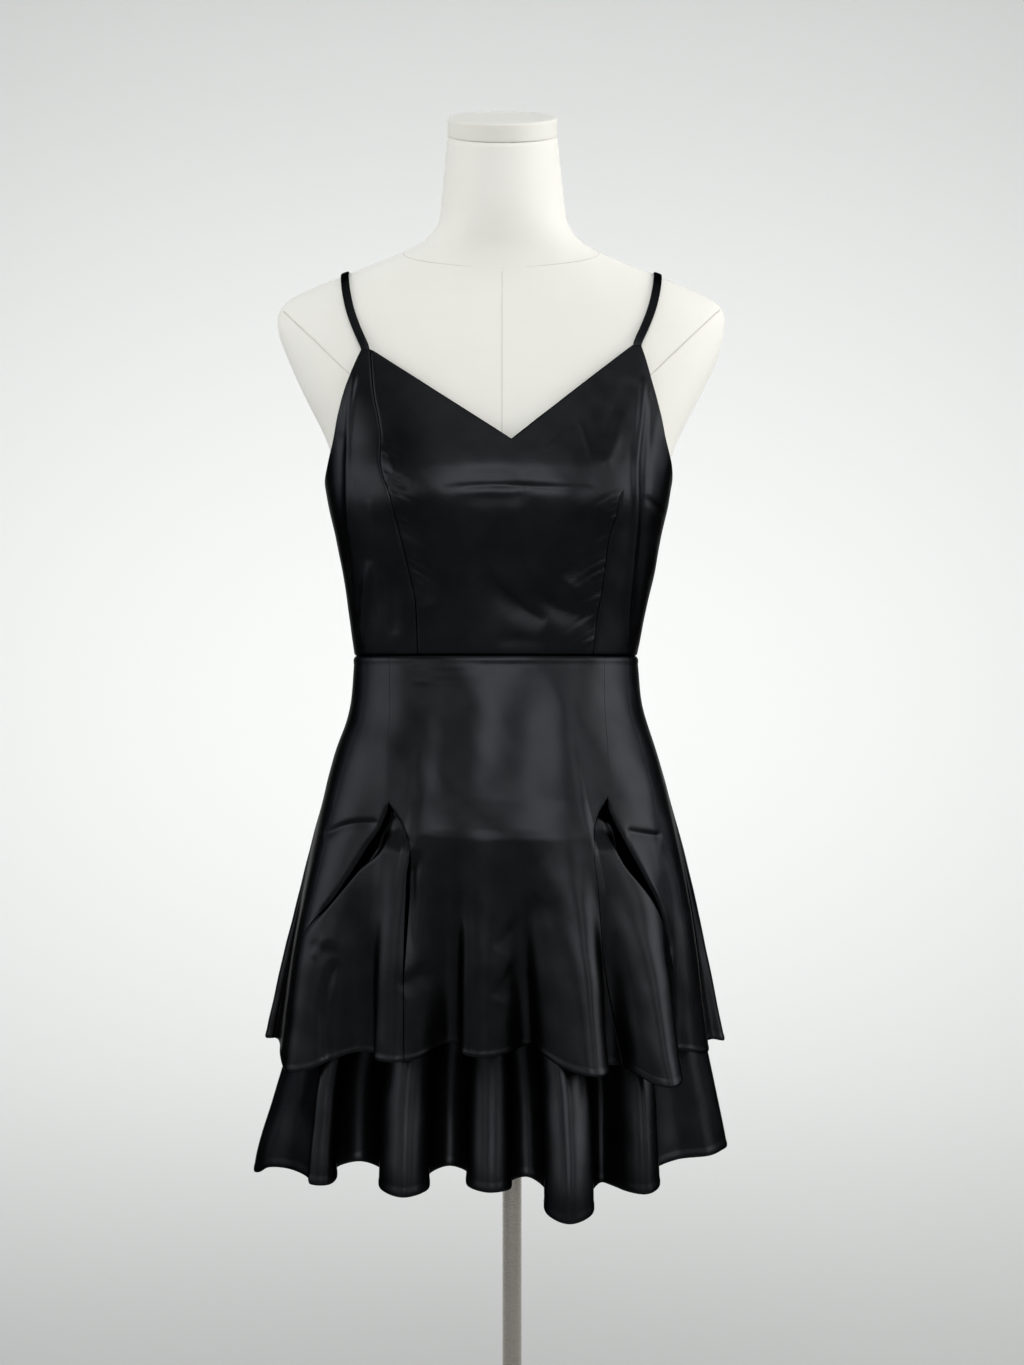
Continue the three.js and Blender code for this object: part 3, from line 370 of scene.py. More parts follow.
def closed_curve(points, steps):
    """Samples of a closed centripetal Catmull-Rom curve, some for each stretch between two points."""
    p0, p1, p2, p3 = (np.roll(points, shift, axis=0)[:, None] for shift in (1, 0, -1, -2))
    d0, d1, d2 = (
        np.linalg.norm(b - a, axis=2, keepdims=True) ** 0.5 for a, b in ((p0, p1), (p1, p2), (p2, p3))
    )
    leave = ((p1 - p0) / d0 - (p2 - p0) / (d0 + d1) + (p2 - p1) / d1) * d1
    arrive = ((p2 - p1) / d1 - (p3 - p1) / (d1 + d2) + (p3 - p2) / d2) * d1
    t = (np.arange(steps) / steps)[None, :, None]
    return hermite(t, p1, p2, leave, arrive).reshape(-1, points.shape[1])


# Corners of a fold's outline beside its crest: their shares of its dip, and of the climb to its hollow.
SHOULDER = (0.28, 0.2)
ROOT = (0.78, 0.7)
BROAD = 24  # a side wider than this has its shoulder drawn in, to this share of its width
BROAD_SHOULDER = 0.55
HEM_STEPS = 20  # samples from one corner to the next
SOFT_GROWN = (0, 0.25, 0.6, 1)  # shares of the folds' growth
SOFT_WIDTHS = (60, 32, 10, 4)  # how far the folds are evened out there, in tenths of a degree


def softly(column, width):
    """A closed column, evened out over a width."""
    turns = np.fft.fftfreq(len(column))
    return np.real(np.fft.ifft(np.fft.fft(column) * np.exp(-2 * (math.pi * turns * width) ** 2)))


def fold_corner(fold, side, share):
    """x and y of a corner on a side of a fold's crest, at a share of the dip to the hollow beside it."""
    s, c = math.sin(math.radians(fold["face"])), math.cos(math.radians(fold["face"]))
    name = "left" if side < 0 else "right"
    width = fold[name]
    if share == SHOULDER[0] and width > BROAD:
        width *= BROAD_SHOULDER
    out, dip = side * width, share * fold["dip_" + name]
    return fold["x"] + c * out - s * dip, fold["y"] + s * out + c * dip


def hem_points(folds, hem_z):
    """The points of a hem's closed outline, six for each fold, and the start and growth at each."""
    points, ways = [], []
    for before, fold, following in zip(folds[-1:] + folds[:-1], folds, folds[1:] + folds[:1]):
        z = hem_z - fold["drop"]
        hollow = {-1: hem_z + before["rise"], 0: z, 1: hem_z + fold["rise"]}
        for side, (share, climb) in ((-1, ROOT), (-1, SHOULDER), (0, (0, 0)), (1, SHOULDER), (1, ROOT)):
            points.append((*fold_corner(fold, side, share), mix(z, hollow[side], climb)))
            ways.append((fold["start"], fold["growth"]))
        a, b = np.array(fold_corner(fold, 1, 1)), np.array(fold_corner(following, -1, 1))
        points.append((*(a + b) / 2, hem_z + fold["rise"]))
        ways.append([(fold[key] + following[key]) / 2 for key in ("start", "growth")])
    return np.array(points), ways


def hem_line(folds, rows, hem_z):
    """A tier's hem by bearing: its height, where its fold starts, and its offset from the plain section."""
    points, ways = hem_points([dict(zip(FOLD, row)) for row in folds], hem_z)
    samples = np.roll(closed_curve(points, HEM_STEPS), -2 * HEM_STEPS, axis=0)  # from the first crest on
    place = (np.arange(len(samples)) / HEM_STEPS + 2) % len(points)
    start, growth = (
        np.interp(place, np.arange(len(points) + 1), column) for column in np.transpose(ways + ways[:1])
    )
    step = np.linalg.norm(np.diff(samples[:, :2], axis=0, append=samples[:1, :2]), axis=1)
    each = 6 * HEM_STEPS  # samples for one fold
    step = step.reshape(-1, each)
    share = (np.cumsum(step, axis=1) - step) / step.sum(axis=1, keepdims=True)
    crest = np.degrees(np.arctan2(samples[::each, 0] - AXIS_X, -samples[::each, 1]))
    turn = (np.roll(crest, -1) - crest) % 360
    angle = wrap(crest[:, None] + turn[:, None] * share).ravel()
    order = np.argsort(angle)
    x, y = section(rows, angle, hem_z, AXIS_X)
    even = np.arange(-180, 180, 0.1)
    offsets = {"dx": samples[:, 0] - x, "dy": samples[:, 1] - y}
    columns = {"z": samples[:, 2], "start": start, "growth": growth, **offsets}
    columns = {
        key: np.interp(even, angle[order], column[order], period=360) for key, column in columns.items()
    }
    softened = {key: [softly(columns[key], width) for width in SOFT_WIDTHS] for key in ("dx", "dy")}

    def at(bearings, key, grown=None):
        """A column at some bearings. The offsets take how far the folds have grown, from 0 to 1."""
        turn = wrap(bearings)
        if grown is None:
            return np.interp(turn, even, columns[key], period=360)
        levels = [np.interp(turn, even, column, period=360) for column in softened[key]]
        place = np.interp(grown, SOFT_GROWN, np.arange(len(levels)))
        return sum(np.clip(1 - np.abs(place - i), 0, 1) * level for i, level in enumerate(levels))

    return at


UPPER_HEM = hem_line(UPPER_FOLDS, UPPER, UPPER_HEM_Z)
LOWER_HEM = hem_line(LOWER_FOLDS, LOWER, LOWER_HEM_Z)


def front_seam(rows):
    """A front seam's bearings and depths by height. Above the release it is one straight line."""
    top, release = rows[0], rows[1]
    turned = [
        (z, *(float(bearing(upper_section, x, z)) for x in xs), groove, slot)
        for z, *xs, groove, slot in rows
    ]
    below = table(SEAM, *turned[1:])

    def at(key, z):
        if key in ("groove", "slot"):
            return below[key](z)
        straight = mix(turned[1][1], turned[0][1], (z - release[0]) / (top[0] - release[0]))
        return np.where(z < release[0], below[key](z), straight)

    return {"at": at, "release": release[0]}


SEAMS = {"left": front_seam(LEFT_SEAM), "right": front_seam(RIGHT_SEAM)}


def roll_in(away):
    return LIP * (1 - np.clip(np.abs(away) / LIP_WIDTH, 0, 1)) ** 2


def godet_depth(seam):
    """How far a godet lies behind the skirt's shape."""

    def depth(angle, z):
        edge, crest, inner = (seam["at"](key, z) for key in ("edge", "crest", "inner"))
        share = np.clip((angle - edge) / np.where(inner == edge, 1, inner - edge), 0, 1)
        rise = np.clip((angle - edge) / np.where(crest == edge, 1, crest - edge), 0, 1)
        groove = seam["at"]("groove", z) * (1 - smooth(rise, 0.1, 1))
        roll = 0.4 * roll_in(angle - inner) * smooth(seam["at"]("slot", z), 0, 4)
        opened = smooth(seam["release"] - z, -6, 16)
        ridge = 1 - 0.12 * opened * (1 - smooth(np.abs(share - 0.5), 0, 0.4))
        above = mix(1.6, OPEN_DEPTH, opened) * ridge
        return mix(np.maximum(groove, roll), above, smooth(z, *GODET_CREASE))

    return depth


def edge_depth(seam):
    """How far a side panel's free edge rolls in."""

    def depth(angle, z):
        return roll_in(angle - seam["at"]("edge", z)) * smooth(seam["at"]("groove", z), 0, 6)

    return depth


def centre_depth(angle, z):
    """How far the centre panel sinks beside its two seams."""
    deepest = 0
    for seam in SEAMS.values():
        away = angle - seam["at"]("inner", z)
        slot = seam["at"]("slot", z) * (1 - smooth(np.abs(away), 0.6, 6))
        opened = smooth(seam["release"] - z, 0, 20) * smooth(z, *CREASE)
        deepest = np.maximum(deepest, np.maximum(slot, roll_in(away) * opened))
    return deepest


def tier(place, hem, top_z, hem_z, settle, depth=None):
    """A skirt tier by bearing and t, which runs from its top edge to its hem.

    settle: above 1 the folds have their full depth well above the hem.
    """

    def surface(angle, t):
        low = hem(angle, "z")
        z = mix(top_z, low, t)
        x, y = place(angle, hem_z + HEM_EASE * np.logaddexp(0, (z - hem_z) / HEM_EASE))
        start = hem(angle, "start")
        grown = np.clip((start - z) / (start - low), 0, 1)
        grown = (1 - (1 - grown) ** settle) ** hem(angle, "growth")
        into = depth(angle, z) if depth else 0
        s, c = np.sin(np.radians(angle)), -np.cos(np.radians(angle))
        dx, dy = (hem(angle, key, grown) * grown for key in ("dx", "dy"))
        return np.stack([x + dx - s * into, y + dy - c * into, z], -1)

    return surface


def upper_tier(depth=None):
    return tier(upper_section, UPPER_HEM, UPPER_TOP_Z, UPPER_HEM_Z, 1, depth)


def bust_rise(x, z, rise):
    def bump(middle):
        return np.exp(-((x - middle) ** 2 + (z - BUST["z"]) ** 2) / (2 * BUST["spread"] ** 2))

    return -rise * (bump(BUST["left"]) + bump(BUST["right"]))


def bodice_point(angle, z):
    x, y = bodice_section(angle, z)
    y = y + bust_rise(x, z, BODICE_BUST) * smooth(-y, 0, 60)
    return np.stack([x, y, z + 0 * x], -1)


def bodice_top(angle):
    """The bodice's top edge by bearing: the V between the straps, the armholes and the back."""
    a = wrap(angle)
    z = np.full(np.shape(a), 1150.0)
    for _ in range(8):
        x = bodice_point(a, z)[..., 0]
        left = x < NECK_POINT["x"]
        apex_x, apex_z, bow = (np.where(left, APEX_LEFT[k], APEX_RIGHT[k]) for k in ("x", "z", "bow"))
        along = (x - NECK_POINT["x"]) / (apex_x - NECK_POINT["x"])
        z = np.minimum(mix(NECK_POINT["z"], apex_z, along) + 4 * bow * along * (1 - along), apex_z)
    z = np.where(a < STRAP_LEFT, ARMHOLE_LEFT["z"](a), z)
    return np.where(a > STRAP_RIGHT, ARMHOLE_RIGHT["z"](a), z)


def bodice(angle, t):
    """The bodice by bearing and t, which runs from its top edge to the waist."""
    return bodice_point(angle, mix(bodice_top(angle), WAIST_Z, t))


# ---------- Grids ----------
def fixed(*angles):
    return [lambda t, angle=angle: np.full(np.shape(t), float(angle)) for angle in angles]


BESIDE_SEAM = np.array([0.4, 1.0, 1.8, 2.8])  # distances of the close rows or columns beside a seam
SEAM_ZONE = 3.6  # within which the even ones give way to them


def spread(length, spacing, fine=(True, True)):
    """Places along a length: even ones, and close ones beside each fine end."""
    places = np.linspace(0, length, max(2, round(length / spacing)) + 1)
    inner = places[(places > SEAM_ZONE * fine[0]) & (places < length - SEAM_ZONE * fine[1])]
    first, last = (BESIDE_SEAM if is_fine else [] for is_fine in fine)
    return np.unique(np.concatenate([[0], first, inner, length - np.array(last), [length]]))


def panel(surface, lines, ts, spacing, guide=1.0, seams=()):
    """A grid of points on a surface between its first and last line, even in length along t = guide.

    seams: places in lines of those that are sewn inside the panel, with close columns beside them.
    """
    at = [line(ts) for line in lines]
    for k, step in ((0, 0.1), (-1, -0.1)):
        moved = np.linalg.norm(surface(at[k] + step, ts) - surface(at[k], ts), axis=-1)
        at[k] = at[k] + GAP / 2 / moved * step
    angles = []
    close = {0, len(lines) - 1, *seams}
    for k in range(len(lines) - 1):
        a, b = (float(line(guide)) for line in lines[k : k + 2])
        shares = np.linspace(0, 1, 400)
        run = lengths(surface(mix(a, b, shares), np.full(400, guide)), 0)
        places = spread(run[-1], spacing, (k in close, k + 1 in close))
        wanted = np.interp(places, run, shares)
        angles += [mix(at[k], at[k + 1], share) for share in wanted[(k > 0) :]]
    return surface(np.array(angles).T, ts[:, None])


def rows_down(length, spacing):
    """t for the rows of a panel of about that length."""
    return spread(length, spacing) / length


def outward(grid):
    """Unit normals of a grid whose rows run down and whose columns run towards +X at the front."""
    return unit(np.cross(np.gradient(grid, axis=0), np.gradient(grid, axis=1)))


def borders(grid):
    """Each point's distance from the grid's four borders."""
    across, down = lengths(grid, 1), lengths(grid, 0)
    return {"left": across, "right": across[:, -1:] - across, "top": down, "bottom": down[-1:] - down}


# ---------- Creases ----------
def beside_path(x, z, path):
    """How far points lie from a path in x and z, above 0 on its left, and beside which share of it."""
    nearest, share, turned = np.full(x.shape, np.inf), np.zeros(x.shape), np.ones(x.shape)
    for i in range(len(path) - 1):
        (ax, az), (bx, bz) = path[i], path[i + 1]
        along, up = bx - ax, bz - az
        t = np.clip(((x - ax) * along + (z - az) * up) / (along**2 + up**2), 0, 1)
        away = np.hypot(x - mix(ax, bx, t), z - mix(az, bz, t))
        closer = away < nearest
        nearest = np.where(closer, away, nearest)
        share = np.where(closer, (i + t) / (len(path) - 1), share)
        turned = np.where(closer, np.sign(along * (z - az) - up * (x - ax)), turned)
    return nearest * turned, share


def rounded(path):
    """A path with its corners cut twice."""
    points = np.array(path, float)
    for _ in range(2):
        a, b = points[:-1], points[1:]
        cut = np.stack([mix(a, b, 0.25), mix(a, b, 0.75)], 1).reshape(-1, 2)
        points = np.concatenate([points[:1], cut, points[-1:]])
    return points


def creased(x, z, creases):
    """The height of all creases at each point.

    A row: the widths on the left and right of its path, its height (a ridge's is above 0), its power
    (2 is soft, 1 is a sharp fold), the share of its length over which its ends fade, and its path in
    x and z.
    """
    total = np.zeros(x.shape)
    for left, right, height, power, fade, *path in creases:
        away, share = beside_path(x, z, rounded(path))
        ends = smooth(share, 0, fade) * smooth(1 - share, 0, fade)
        total += height * np.exp(-(np.abs(away / np.where(away > 0, left, right)) ** power)) * ends
    return total


def front_and_back(grid, front, back):
    """The relief of the front's creases at the front and the back's at the back."""
    x, y, z = np.moveaxis(grid, -1, 0)
    return mix(creased(x, z, back), creased(x, z, front), at_front(y))


def at_front(y):
    return smooth(-y, -10, 25)


def unevenness(grid, scale, height):
    """A gentle unevenness, as hand-sewn cloth has everywhere."""
    x, y, z = np.moveaxis(grid, -1, 0)
    u, v = (x + 0.6 * y) / scale, z / scale
    waves = np.sin(2.1 * u + 1.3 * np.sin(1.7 * v + 0.4)) + np.sin(1.6 * v - 0.9 * np.sin(1.3 * u) + 2)
    return height * (waves + 0.5 * np.sin(3.7 * u + 2.9 * v + 1)) / 2.5


BODICE_CREASES = (
    # left, right, height, power, fade, path from end to end
    (2.2, 4, -1.3, 1.5, 0.4, (-62, 1063), (-36, 1066), (-8, 1067), (28, 1065), (78, 1064)),
    (4, 8, -0.9, 2, 0.45, (-52, 1053), (-26, 1056), (0, 1055), (20, 1060)),
    (5, 8, -0.7, 2, 0.45, (-44, 1073), (-20, 1076), (6, 1073)),
    (1.3, 1.3, 0.45, 2, 0.3, (53, 1119), (58, 1122), (63, 1105), (68, 1086)),
    (1.3, 1.3, 0.45, 2, 0.3, (27, 1094), (40, 1108), (54, 1119)),
    (1.3, 1.3, 0.35, 2, 0.3, (16, 1077), (10, 1054), (4, 1032)),
    (5, 13, -3.8, 1.8, 0.4, (-26, 994), (-10, 979), (6, 966), (30, 950)),
    (5, 12, -3.4, 1.8, 0.4, (10, 984), (28, 970), (46, 962), (76, 955)),
    (26, 26, 1.3, 2, 0.5, (-96, 1092), (-8, 1101), (60, 1094)),
    (16, 20, 2.6, 2, 0.4, (68, 1062), (40, 1021), (14, 985), (-10, 1000)),
    (11, 12, -3.6, 2, 0.4, (80, 1044), (66, 1014), (48, 984)),
    (14, 14, -2.2, 2, 0.5, (-100, 1030), (-74, 1032), (-45, 1036)),
    (4, 6, -0.7, 2, 0.4, (-18, 936), (6, 938), (30, 934)),
    (12, 12, -2.4, 2, 0.4, (-88, 1050), (-78, 1010), (-70, 965)),
    (2.6, 2.6, 1.3, 2, 0.2, (-135, 1169), (-140, 1140), (-141, 1101), (-141, 1061), (-139, 1006)),
    (3.6, 3.6, -1.1, 2, 0.2, (-146, 1118), (-148, 1084), (-148, 1041), (-146, 1006), (-141, 971)),
    (2.2, 2.2, 0.5, 2, 0.2, (-121, 1058), (-117, 1023), (-115, 980), (-112, 940)),
    (4, 4, 1.4, 2, 0.3, (-122, 1006), (-127, 980), (-130, 954), (-132, 930)),
    (5, 5, -0.8, 2, 0.3, (-105, 1000), (-102, 970), (-100, 940)),
    (3, 3, 1.8, 2, 0.2, (114, 1166), (110, 1127), (105, 1086), (106, 1041), (102, 998), (99, 957),
     (102, 930)),
    (3.6, 3.6, -1.1, 2, 0.2, (121, 1150), (117, 1100), (114, 1050), (110, 1000), (109, 950)),
    (5, 5, 0.7, 2, 0.3, (92, 1134), (88, 1104), (77, 1082)),
    (8, 8, -0.8, 2, 0.3, (101, 1164), (91, 1139), (79, 1105)),
    (2.6, 4, -0.8, 2, 0.45, (112, 1061), (123, 1055), (136, 1046)),
    (5, 5, 0.9, 2, 0.3, (-107, 1104), (-101, 1084), (-98, 1074)),
    (3, 5, -0.9, 2, 0.3, (-106, 1071), (-96, 1067), (-86, 1068)),
)
UPPER_CREASES = (
    (3, 3, 0.3, 2, 0.3, (-88, 914), (-56, 915), (-24, 914)),
    (3, 3, -0.3, 2, 0.3, (-88, 901), (-56, 900), (-24, 901)),
    (19, 19, -2.6, 2, 0.4, (-58, 914), (-60, 850), (-62, 774)),
    (20, 20, 2.0, 2, 0.4, (-20, 914), (-21, 850), (-24, 774)),
    (18, 18, -1.9, 2, 0.4, (15, 914), (15, 850), (14, 774)),
    (19, 19, 1.5, 2, 0.4, (47, 914), (46, 850), (45, 774)),
    (2.4, 6, -2.0, 1.4, 0.25, (-164, 767), (-147, 777), (-134, 780), (-112, 781)),
    (2.4, 6, -1.8, 1.4, 0.25, (97, 774), (111, 771), (130, 767)),
    (44, 34, 3.2, 1.15, 0.15, (-92, 774), (-60, 769), (-20, 767), (20, 767), (50, 768), (70, 772)),
    (6, 8, -0.8, 2, 0.4, (-176, 674), (-160, 672), (-146, 668)),
    (4, 4, -2.0, 2, 0.25, (-150, 664), (-157, 642), (-160, 618), (-158, 594), (-156, 572)),
    (4, 4, 0.7, 2, 0.3, (-156, 686), (-163, 674), (-171, 664)),
    (5, 12, -1.4, 2, 0.4, (-95, 643), (-82, 652), (-68, 660)),
    (6, 14, -1.3, 2, 0.4, (-14, 674), (0, 690), (13, 706), (24, 722)),
    (5, 12, -1.1, 2, 0.4, (-15, 634), (-6, 648), (4, 664)),
)
BACK_BODICE_CREASES = (
    (5, 12, -1.3, 2, 0.4, (-72, 970), (-40, 961), (-12, 958)),
    (5, 12, -1.2, 2, 0.4, (-8, 976), (20, 967), (54, 970)),
    (3, 3, 1.0, 2, 0.3, (-110, 1060), (-104, 1010), (-98, 950)),
    (3, 3, 1.0, 2, 0.3, (86, 1064), (80, 1012), (76, 952)),
    (12, 12, -1.2, 2, 0.4, (-60, 1050), (-30, 1035), (-14, 1010)),
    (12, 12, -1.0, 2, 0.4, (42, 1046), (20, 1030), (2, 1008)),
)
BACK_SKIRT_CREASES = (
    (34, 44, 3.0, 1.15, 0.15, (100, 773), (70, 770), (0, 767), (-60, 768), (-120, 772)),
    (20, 20, 1.6, 2, 0.4, (-70, 912), (-74, 850), (-80, 774)),
    (18, 18, -1.8, 2, 0.4, (-30, 912), (-32, 850), (-34, 774)),
    (20, 20, 1.5, 2, 0.4, (22, 912), (24, 850), (28, 774)),
    (4, 10, -1.3, 2, 0.4, (-44, 688), (-20, 702), (6, 712)),
    (10, 4, -1.3, 2, 0.4, (96, 666), (80, 676), (62, 681)),
)


def puckers(x, z, curve, side, low, high, height, reach):
    """Short uneven gathers on one side of a sewn line that runs from low to high."""
    away = side * (x - curve["x"](z))
    beside = np.where(away > 0, np.exp(-away / reach) * smooth(away, 0, 5), 0)
    phase = (z + 0.7 * away) / 17
    wave = np.sin(2 * math.pi * (phase + 0.23 * np.sin(5.1 * phase + 1)))
    wave += 0.45 * np.sin(4.6 * math.pi * phase + 2)
    return height * wave * beside * smooth(z, low, low + 15) * (1 - smooth(z, high - 6, high + 3))


# ---------- Meshes ----------
def add_mesh(name, points, faces, uv=None):
    """A smooth-shaded object from points in millimetres and lists of each face's corners."""
    mesh = bpy.data.meshes.new(name)
    mesh.from_pydata((np.asarray(points) * MM).tolist(), [], faces)
    mesh.polygons.foreach_set("use_smooth", [True] * len(mesh.polygons))
    if uv is not None:
        corners = np.zeros(len(mesh.loops), int)
        mesh.loops.foreach_get("vertex_index", corners)
        layer = mesh.uv_layers.new(name="cloth")
        layer.data.foreach_set("uv", (np.asarray(uv)[corners] * MM).ravel())
    mesh.update()
    thing = bpy.data.objects.new(name, mesh)
    bpy.context.scene.collection.objects.link(thing)
    return thing


def add_shell(name, outside, inside, faces, uv, material):
    """A wall between two grids of points, which share their place on the cloth."""
    points = np.concatenate([outside, inside]).reshape(-1, 3)
    thing = add_mesh(name, points, faces, np.concatenate([uv, uv]).reshape(-1, 2))
    thing.data.materials.append(material)
    return thing


def quads(a, b, c, d):
    """Four grids of corners as a list of quads."""
    return np.stack([a.ravel(), b.ravel(), c.ravel(), d.ravel()], -1).tolist()


def ring_faces(levels, count):
    """Each corner of a stack of closed rings, the corner after it in its ring, and the quads."""
    at = np.arange(levels * count).reshape(levels, count)
    after = np.roll(at, -1, axis=1)
    return at, after, quads(at[:-1], after[:-1], after[1:], at[1:])


def shell_faces(rows, columns):
    """Quads of a closed shell: an outer grid, an inner grid after it, and the four rims between them."""
    outer, inner = np.arange(2 * rows * columns).reshape(2, rows, columns)
    return (
        quads(outer[:-1, :-1], outer[1:, :-1], outer[1:, 1:], outer[:-1, 1:])
        + quads(inner[:-1, :-1], inner[:-1, 1:], inner[1:, 1:], inner[1:, :-1])
        + quads(outer[0, :-1], outer[0, 1:], inner[0, 1:], inner[0, :-1])
        + quads(outer[-1, :-1], inner[-1, :-1], inner[-1, 1:], outer[-1, 1:])
        + quads(outer[:-1, 0], inner[:-1, 0], inner[1:, 0], outer[1:, 0])
        + quads(outer[:-1, -1], outer[1:, -1], inner[1:, -1], inner[:-1, -1])
    )


def cloth(name, grid, relief, material):
    """A satin shell on a grid, with its creases."""
    inside = grid + outward(grid) * (STANDOFF + relief)[..., None]
    outside = inside + outward(inside) * CLOTH
    across, down = lengths(grid, 1), lengths(grid, 0)
    uv = np.stack([across - across[:, across.shape[1] // 2, None], -down], -1)
    return add_shell(name, outside, inside, shell_faces(*grid.shape[:2]), uv, material)


def turned_under(away):
    """The groove of a seam, where the cloth turns under, by the distance from the stitches."""
    return -2.3 * np.exp(-((away / 0.8) ** 2))


def seam_dip(edges, *names):
    return sum(turned_under(edges[name]) for name in names)


def hem_band(edge):
    """A narrow hem: two thicknesses of cloth with a rounded lower edge."""
    double = 0.45 * (1 - smooth(edge, 4.2, 5.2))
    rim, stitched = np.exp(-((edge / 0.7) ** 2)), np.exp(-(((edge - 3.4) / 0.5) ** 2))
    return double - 0.5 * rim - 0.25 * stitched


# ---------- Materials ----------
def new_material(name):
    material = bpy.data.materials.new(name)
    material.use_nodes = True
    tree = material.node_tree
    return material, tree, tree.nodes["Principled BSDF"]


def feed(tree, node, **sockets):
    """Set a node's sockets to values, or link them from outputs. A space in a name is written _."""
    for name, source in sockets.items():
        socket = node.inputs[name.replace("_", " ")]
        if isinstance(source, bpy.types.NodeSocket):
            tree.links.new(source, socket)
        else:
            socket.default_value = source


def object_place(tree):
    return tree.nodes.new("ShaderNodeTexCoord").outputs["Object"]


def ramp(tree, source, *stops):
    """A colour ramp fed by a node's output. A stop: its place and its colour, or one grey."""
    node = tree.nodes.new("ShaderNodeValToRGB")
    while len(node.color_ramp.elements) < len(stops):
        node.color_ramp.elements.new(1)
    for element, (place, colour) in zip(node.color_ramp.elements, stops):
        element.position = place
        element.color = (*np.broadcast_to(colour, 3), 1)
    feed(tree, node, Fac=source)
    return node.outputs["Color"]


def bump_chain(tree, shader, *layers):
    """Bumps on top of each other. A layer: its source, strength and depth in metres."""
    below = {}
    for source, strength, distance in layers:
        bump = tree.nodes.new("ShaderNodeBump")
        feed(tree, bump, Strength=strength, Distance=distance, Height=source, **below)
        below = {"Normal": bump.outputs["Normal"]}
    feed(tree, shader, **below)


def noise(tree, vector, scale, detail):
    node = tree.nodes.new("ShaderNodeTexNoise")
    feed(tree, node, Vector=vector, Scale=scale, Detail=detail)
    return node.outputs["Fac"]


def bands(tree, vector, scale, direction, distortion):
    node = tree.nodes.new("ShaderNodeTexWave")
    node.bands_direction = direction
    feed(tree, node, Vector=vector, Scale=scale, Distortion=distortion)
    return node.outputs["Fac"]


def satin_material(name):
    """Black satin: long smooth floats of thread, a soft gloss, and a slight unevenness in it."""
    material, tree, shader = new_material(name)
    cloth_uv = tree.nodes.new("ShaderNodeUVMap")
    cloth_uv.uv_map = "cloth"
    uv = cloth_uv.outputs["UV"]
    place = object_place(tree)
    thread = bands(tree, uv, 620, "Y", 0.6)
    float_line = bands(tree, uv, 240, "DIAGONAL", 1.5)
    mottle = noise(tree, place, 38, 3)
    slub = noise(tree, place, 420, 2)
    # The floats mirror like a dark metal, without the bright rim that a plastic has.
    feed(
        tree, shader, Metallic=1, Specular_Tint=(0.21, 0.21, 0.21, 1),
        Base_Color=ramp(tree, mottle, (0.3, (0.0148, 0.0156, 0.0172)), (0.75, (0.0195, 0.0202, 0.0218))),
        Roughness=ramp(tree, mottle, (0.3, 0.33), (0.75, 0.37)),
    )
    bump_chain(
        tree, shader,
        (mottle, 0.10, 0.002), (slub, 0.10, 0.0003), (float_line, 0.05, 0.0002), (thread, 0.06, 0.0001),
    )
    return material


def cover_material(name, colour_low, colour_high, roughness):
    """The form's off-white cover: a fine, matt, slightly fuzzy knit."""
    material, tree, shader = new_material(name)
    place = object_place(tree)
    patch = noise(tree, place, 9, 3)
    grain = noise(tree, place, 900, 2)
    weave_a = bands(tree, place, 330, "Z", 0.4)
    weave_b = bands(tree, place, 330, "X", 0.4)
    feed(
        tree, shader, Roughness=roughness, Specular_IOR_Level=0.25, Sheen_Weight=0.25, Sheen_Roughness=0.6,
        Base_Color=ramp(tree, patch, (0.3, colour_low), (0.7, colour_high)),
    )
    bump_chain(
        tree, shader,
        (patch, 0.05, 0.002), (weave_a, 0.22, 0.0002), (weave_b, 0.18, 0.0002), (grain, 0.25, 0.0002),
    )
    return material


def metal_material(name):
    """Satin nickel with a fine brushed grain round it."""
    material, tree, shader = new_material(name)
    place = object_place(tree)
    stretch = tree.nodes.new("ShaderNodeMapping")
    feed(tree, stretch, Vector=place, Scale=(1, 1, 40))
    grain = noise(tree, stretch.outputs["Vector"], 60, 4)
    smudge = noise(tree, place, 14, 3)
    feed(
        tree, shader, Metallic=1, Roughness=ramp(tree, grain, (0.3, 0.20), (0.7, 0.30)),
        Base_Color=ramp(tree, smudge, (0.3, (0.50, 0.47, 0.42)), (0.7, (0.56, 0.53, 0.48))),
    )
    bump_chain(tree, shader, (grain, 0.015, 0.0002), (smudge, 0.006, 0.001))
    return material


SATIN = satin_material("black_satin")
STRAP_SATIN = satin_material("black_strap_satin")
COVER = cover_material("form_cover", (0.86, 0.85, 0.79), (0.90, 0.89, 0.84), 0.88)
CAP_COVER = cover_material("form_cap_cover", (0.82, 0.81, 0.75), (0.86, 0.85, 0.80), 0.8)
COVER_SEAM = cover_material("form_cover_seam", (0.66, 0.65, 0.60), (0.72, 0.71, 0.66), 0.9)
NICKEL = metal_material("satin_nickel")
STEEL = metal_material("brushed_steel")


def finish_piece(thing, slot, *nodes):
    """A piece rides on the one body and stands for its solids, which it hides. Its slot is not used."""
    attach(thing, "root")
    if nodes:
        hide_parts(*nodes)


def finish_cloth(thing, slot, node):
    """A satin piece, finished like any other piece."""
    finish_piece(thing, slot, node)


def waist_ridge(z):
    """The seam's allowances lie under the top of the skirt."""
    return 0.8 * np.exp(-(((z - WAIST_Z + 4.5) / 2.2) ** 2))


def skirt_relief(grid, seam_edges):
    edges = borders(grid)
    relief = front_and_back(grid, UPPER_CREASES, BACK_SKIRT_CREASES)
    relief += unevenness(grid, 21, 0.35) + waist_ridge(grid[..., 2])
    relief += seam_dip(edges, "top", *seam_edges)
    return relief + hem_band(edges["bottom"])


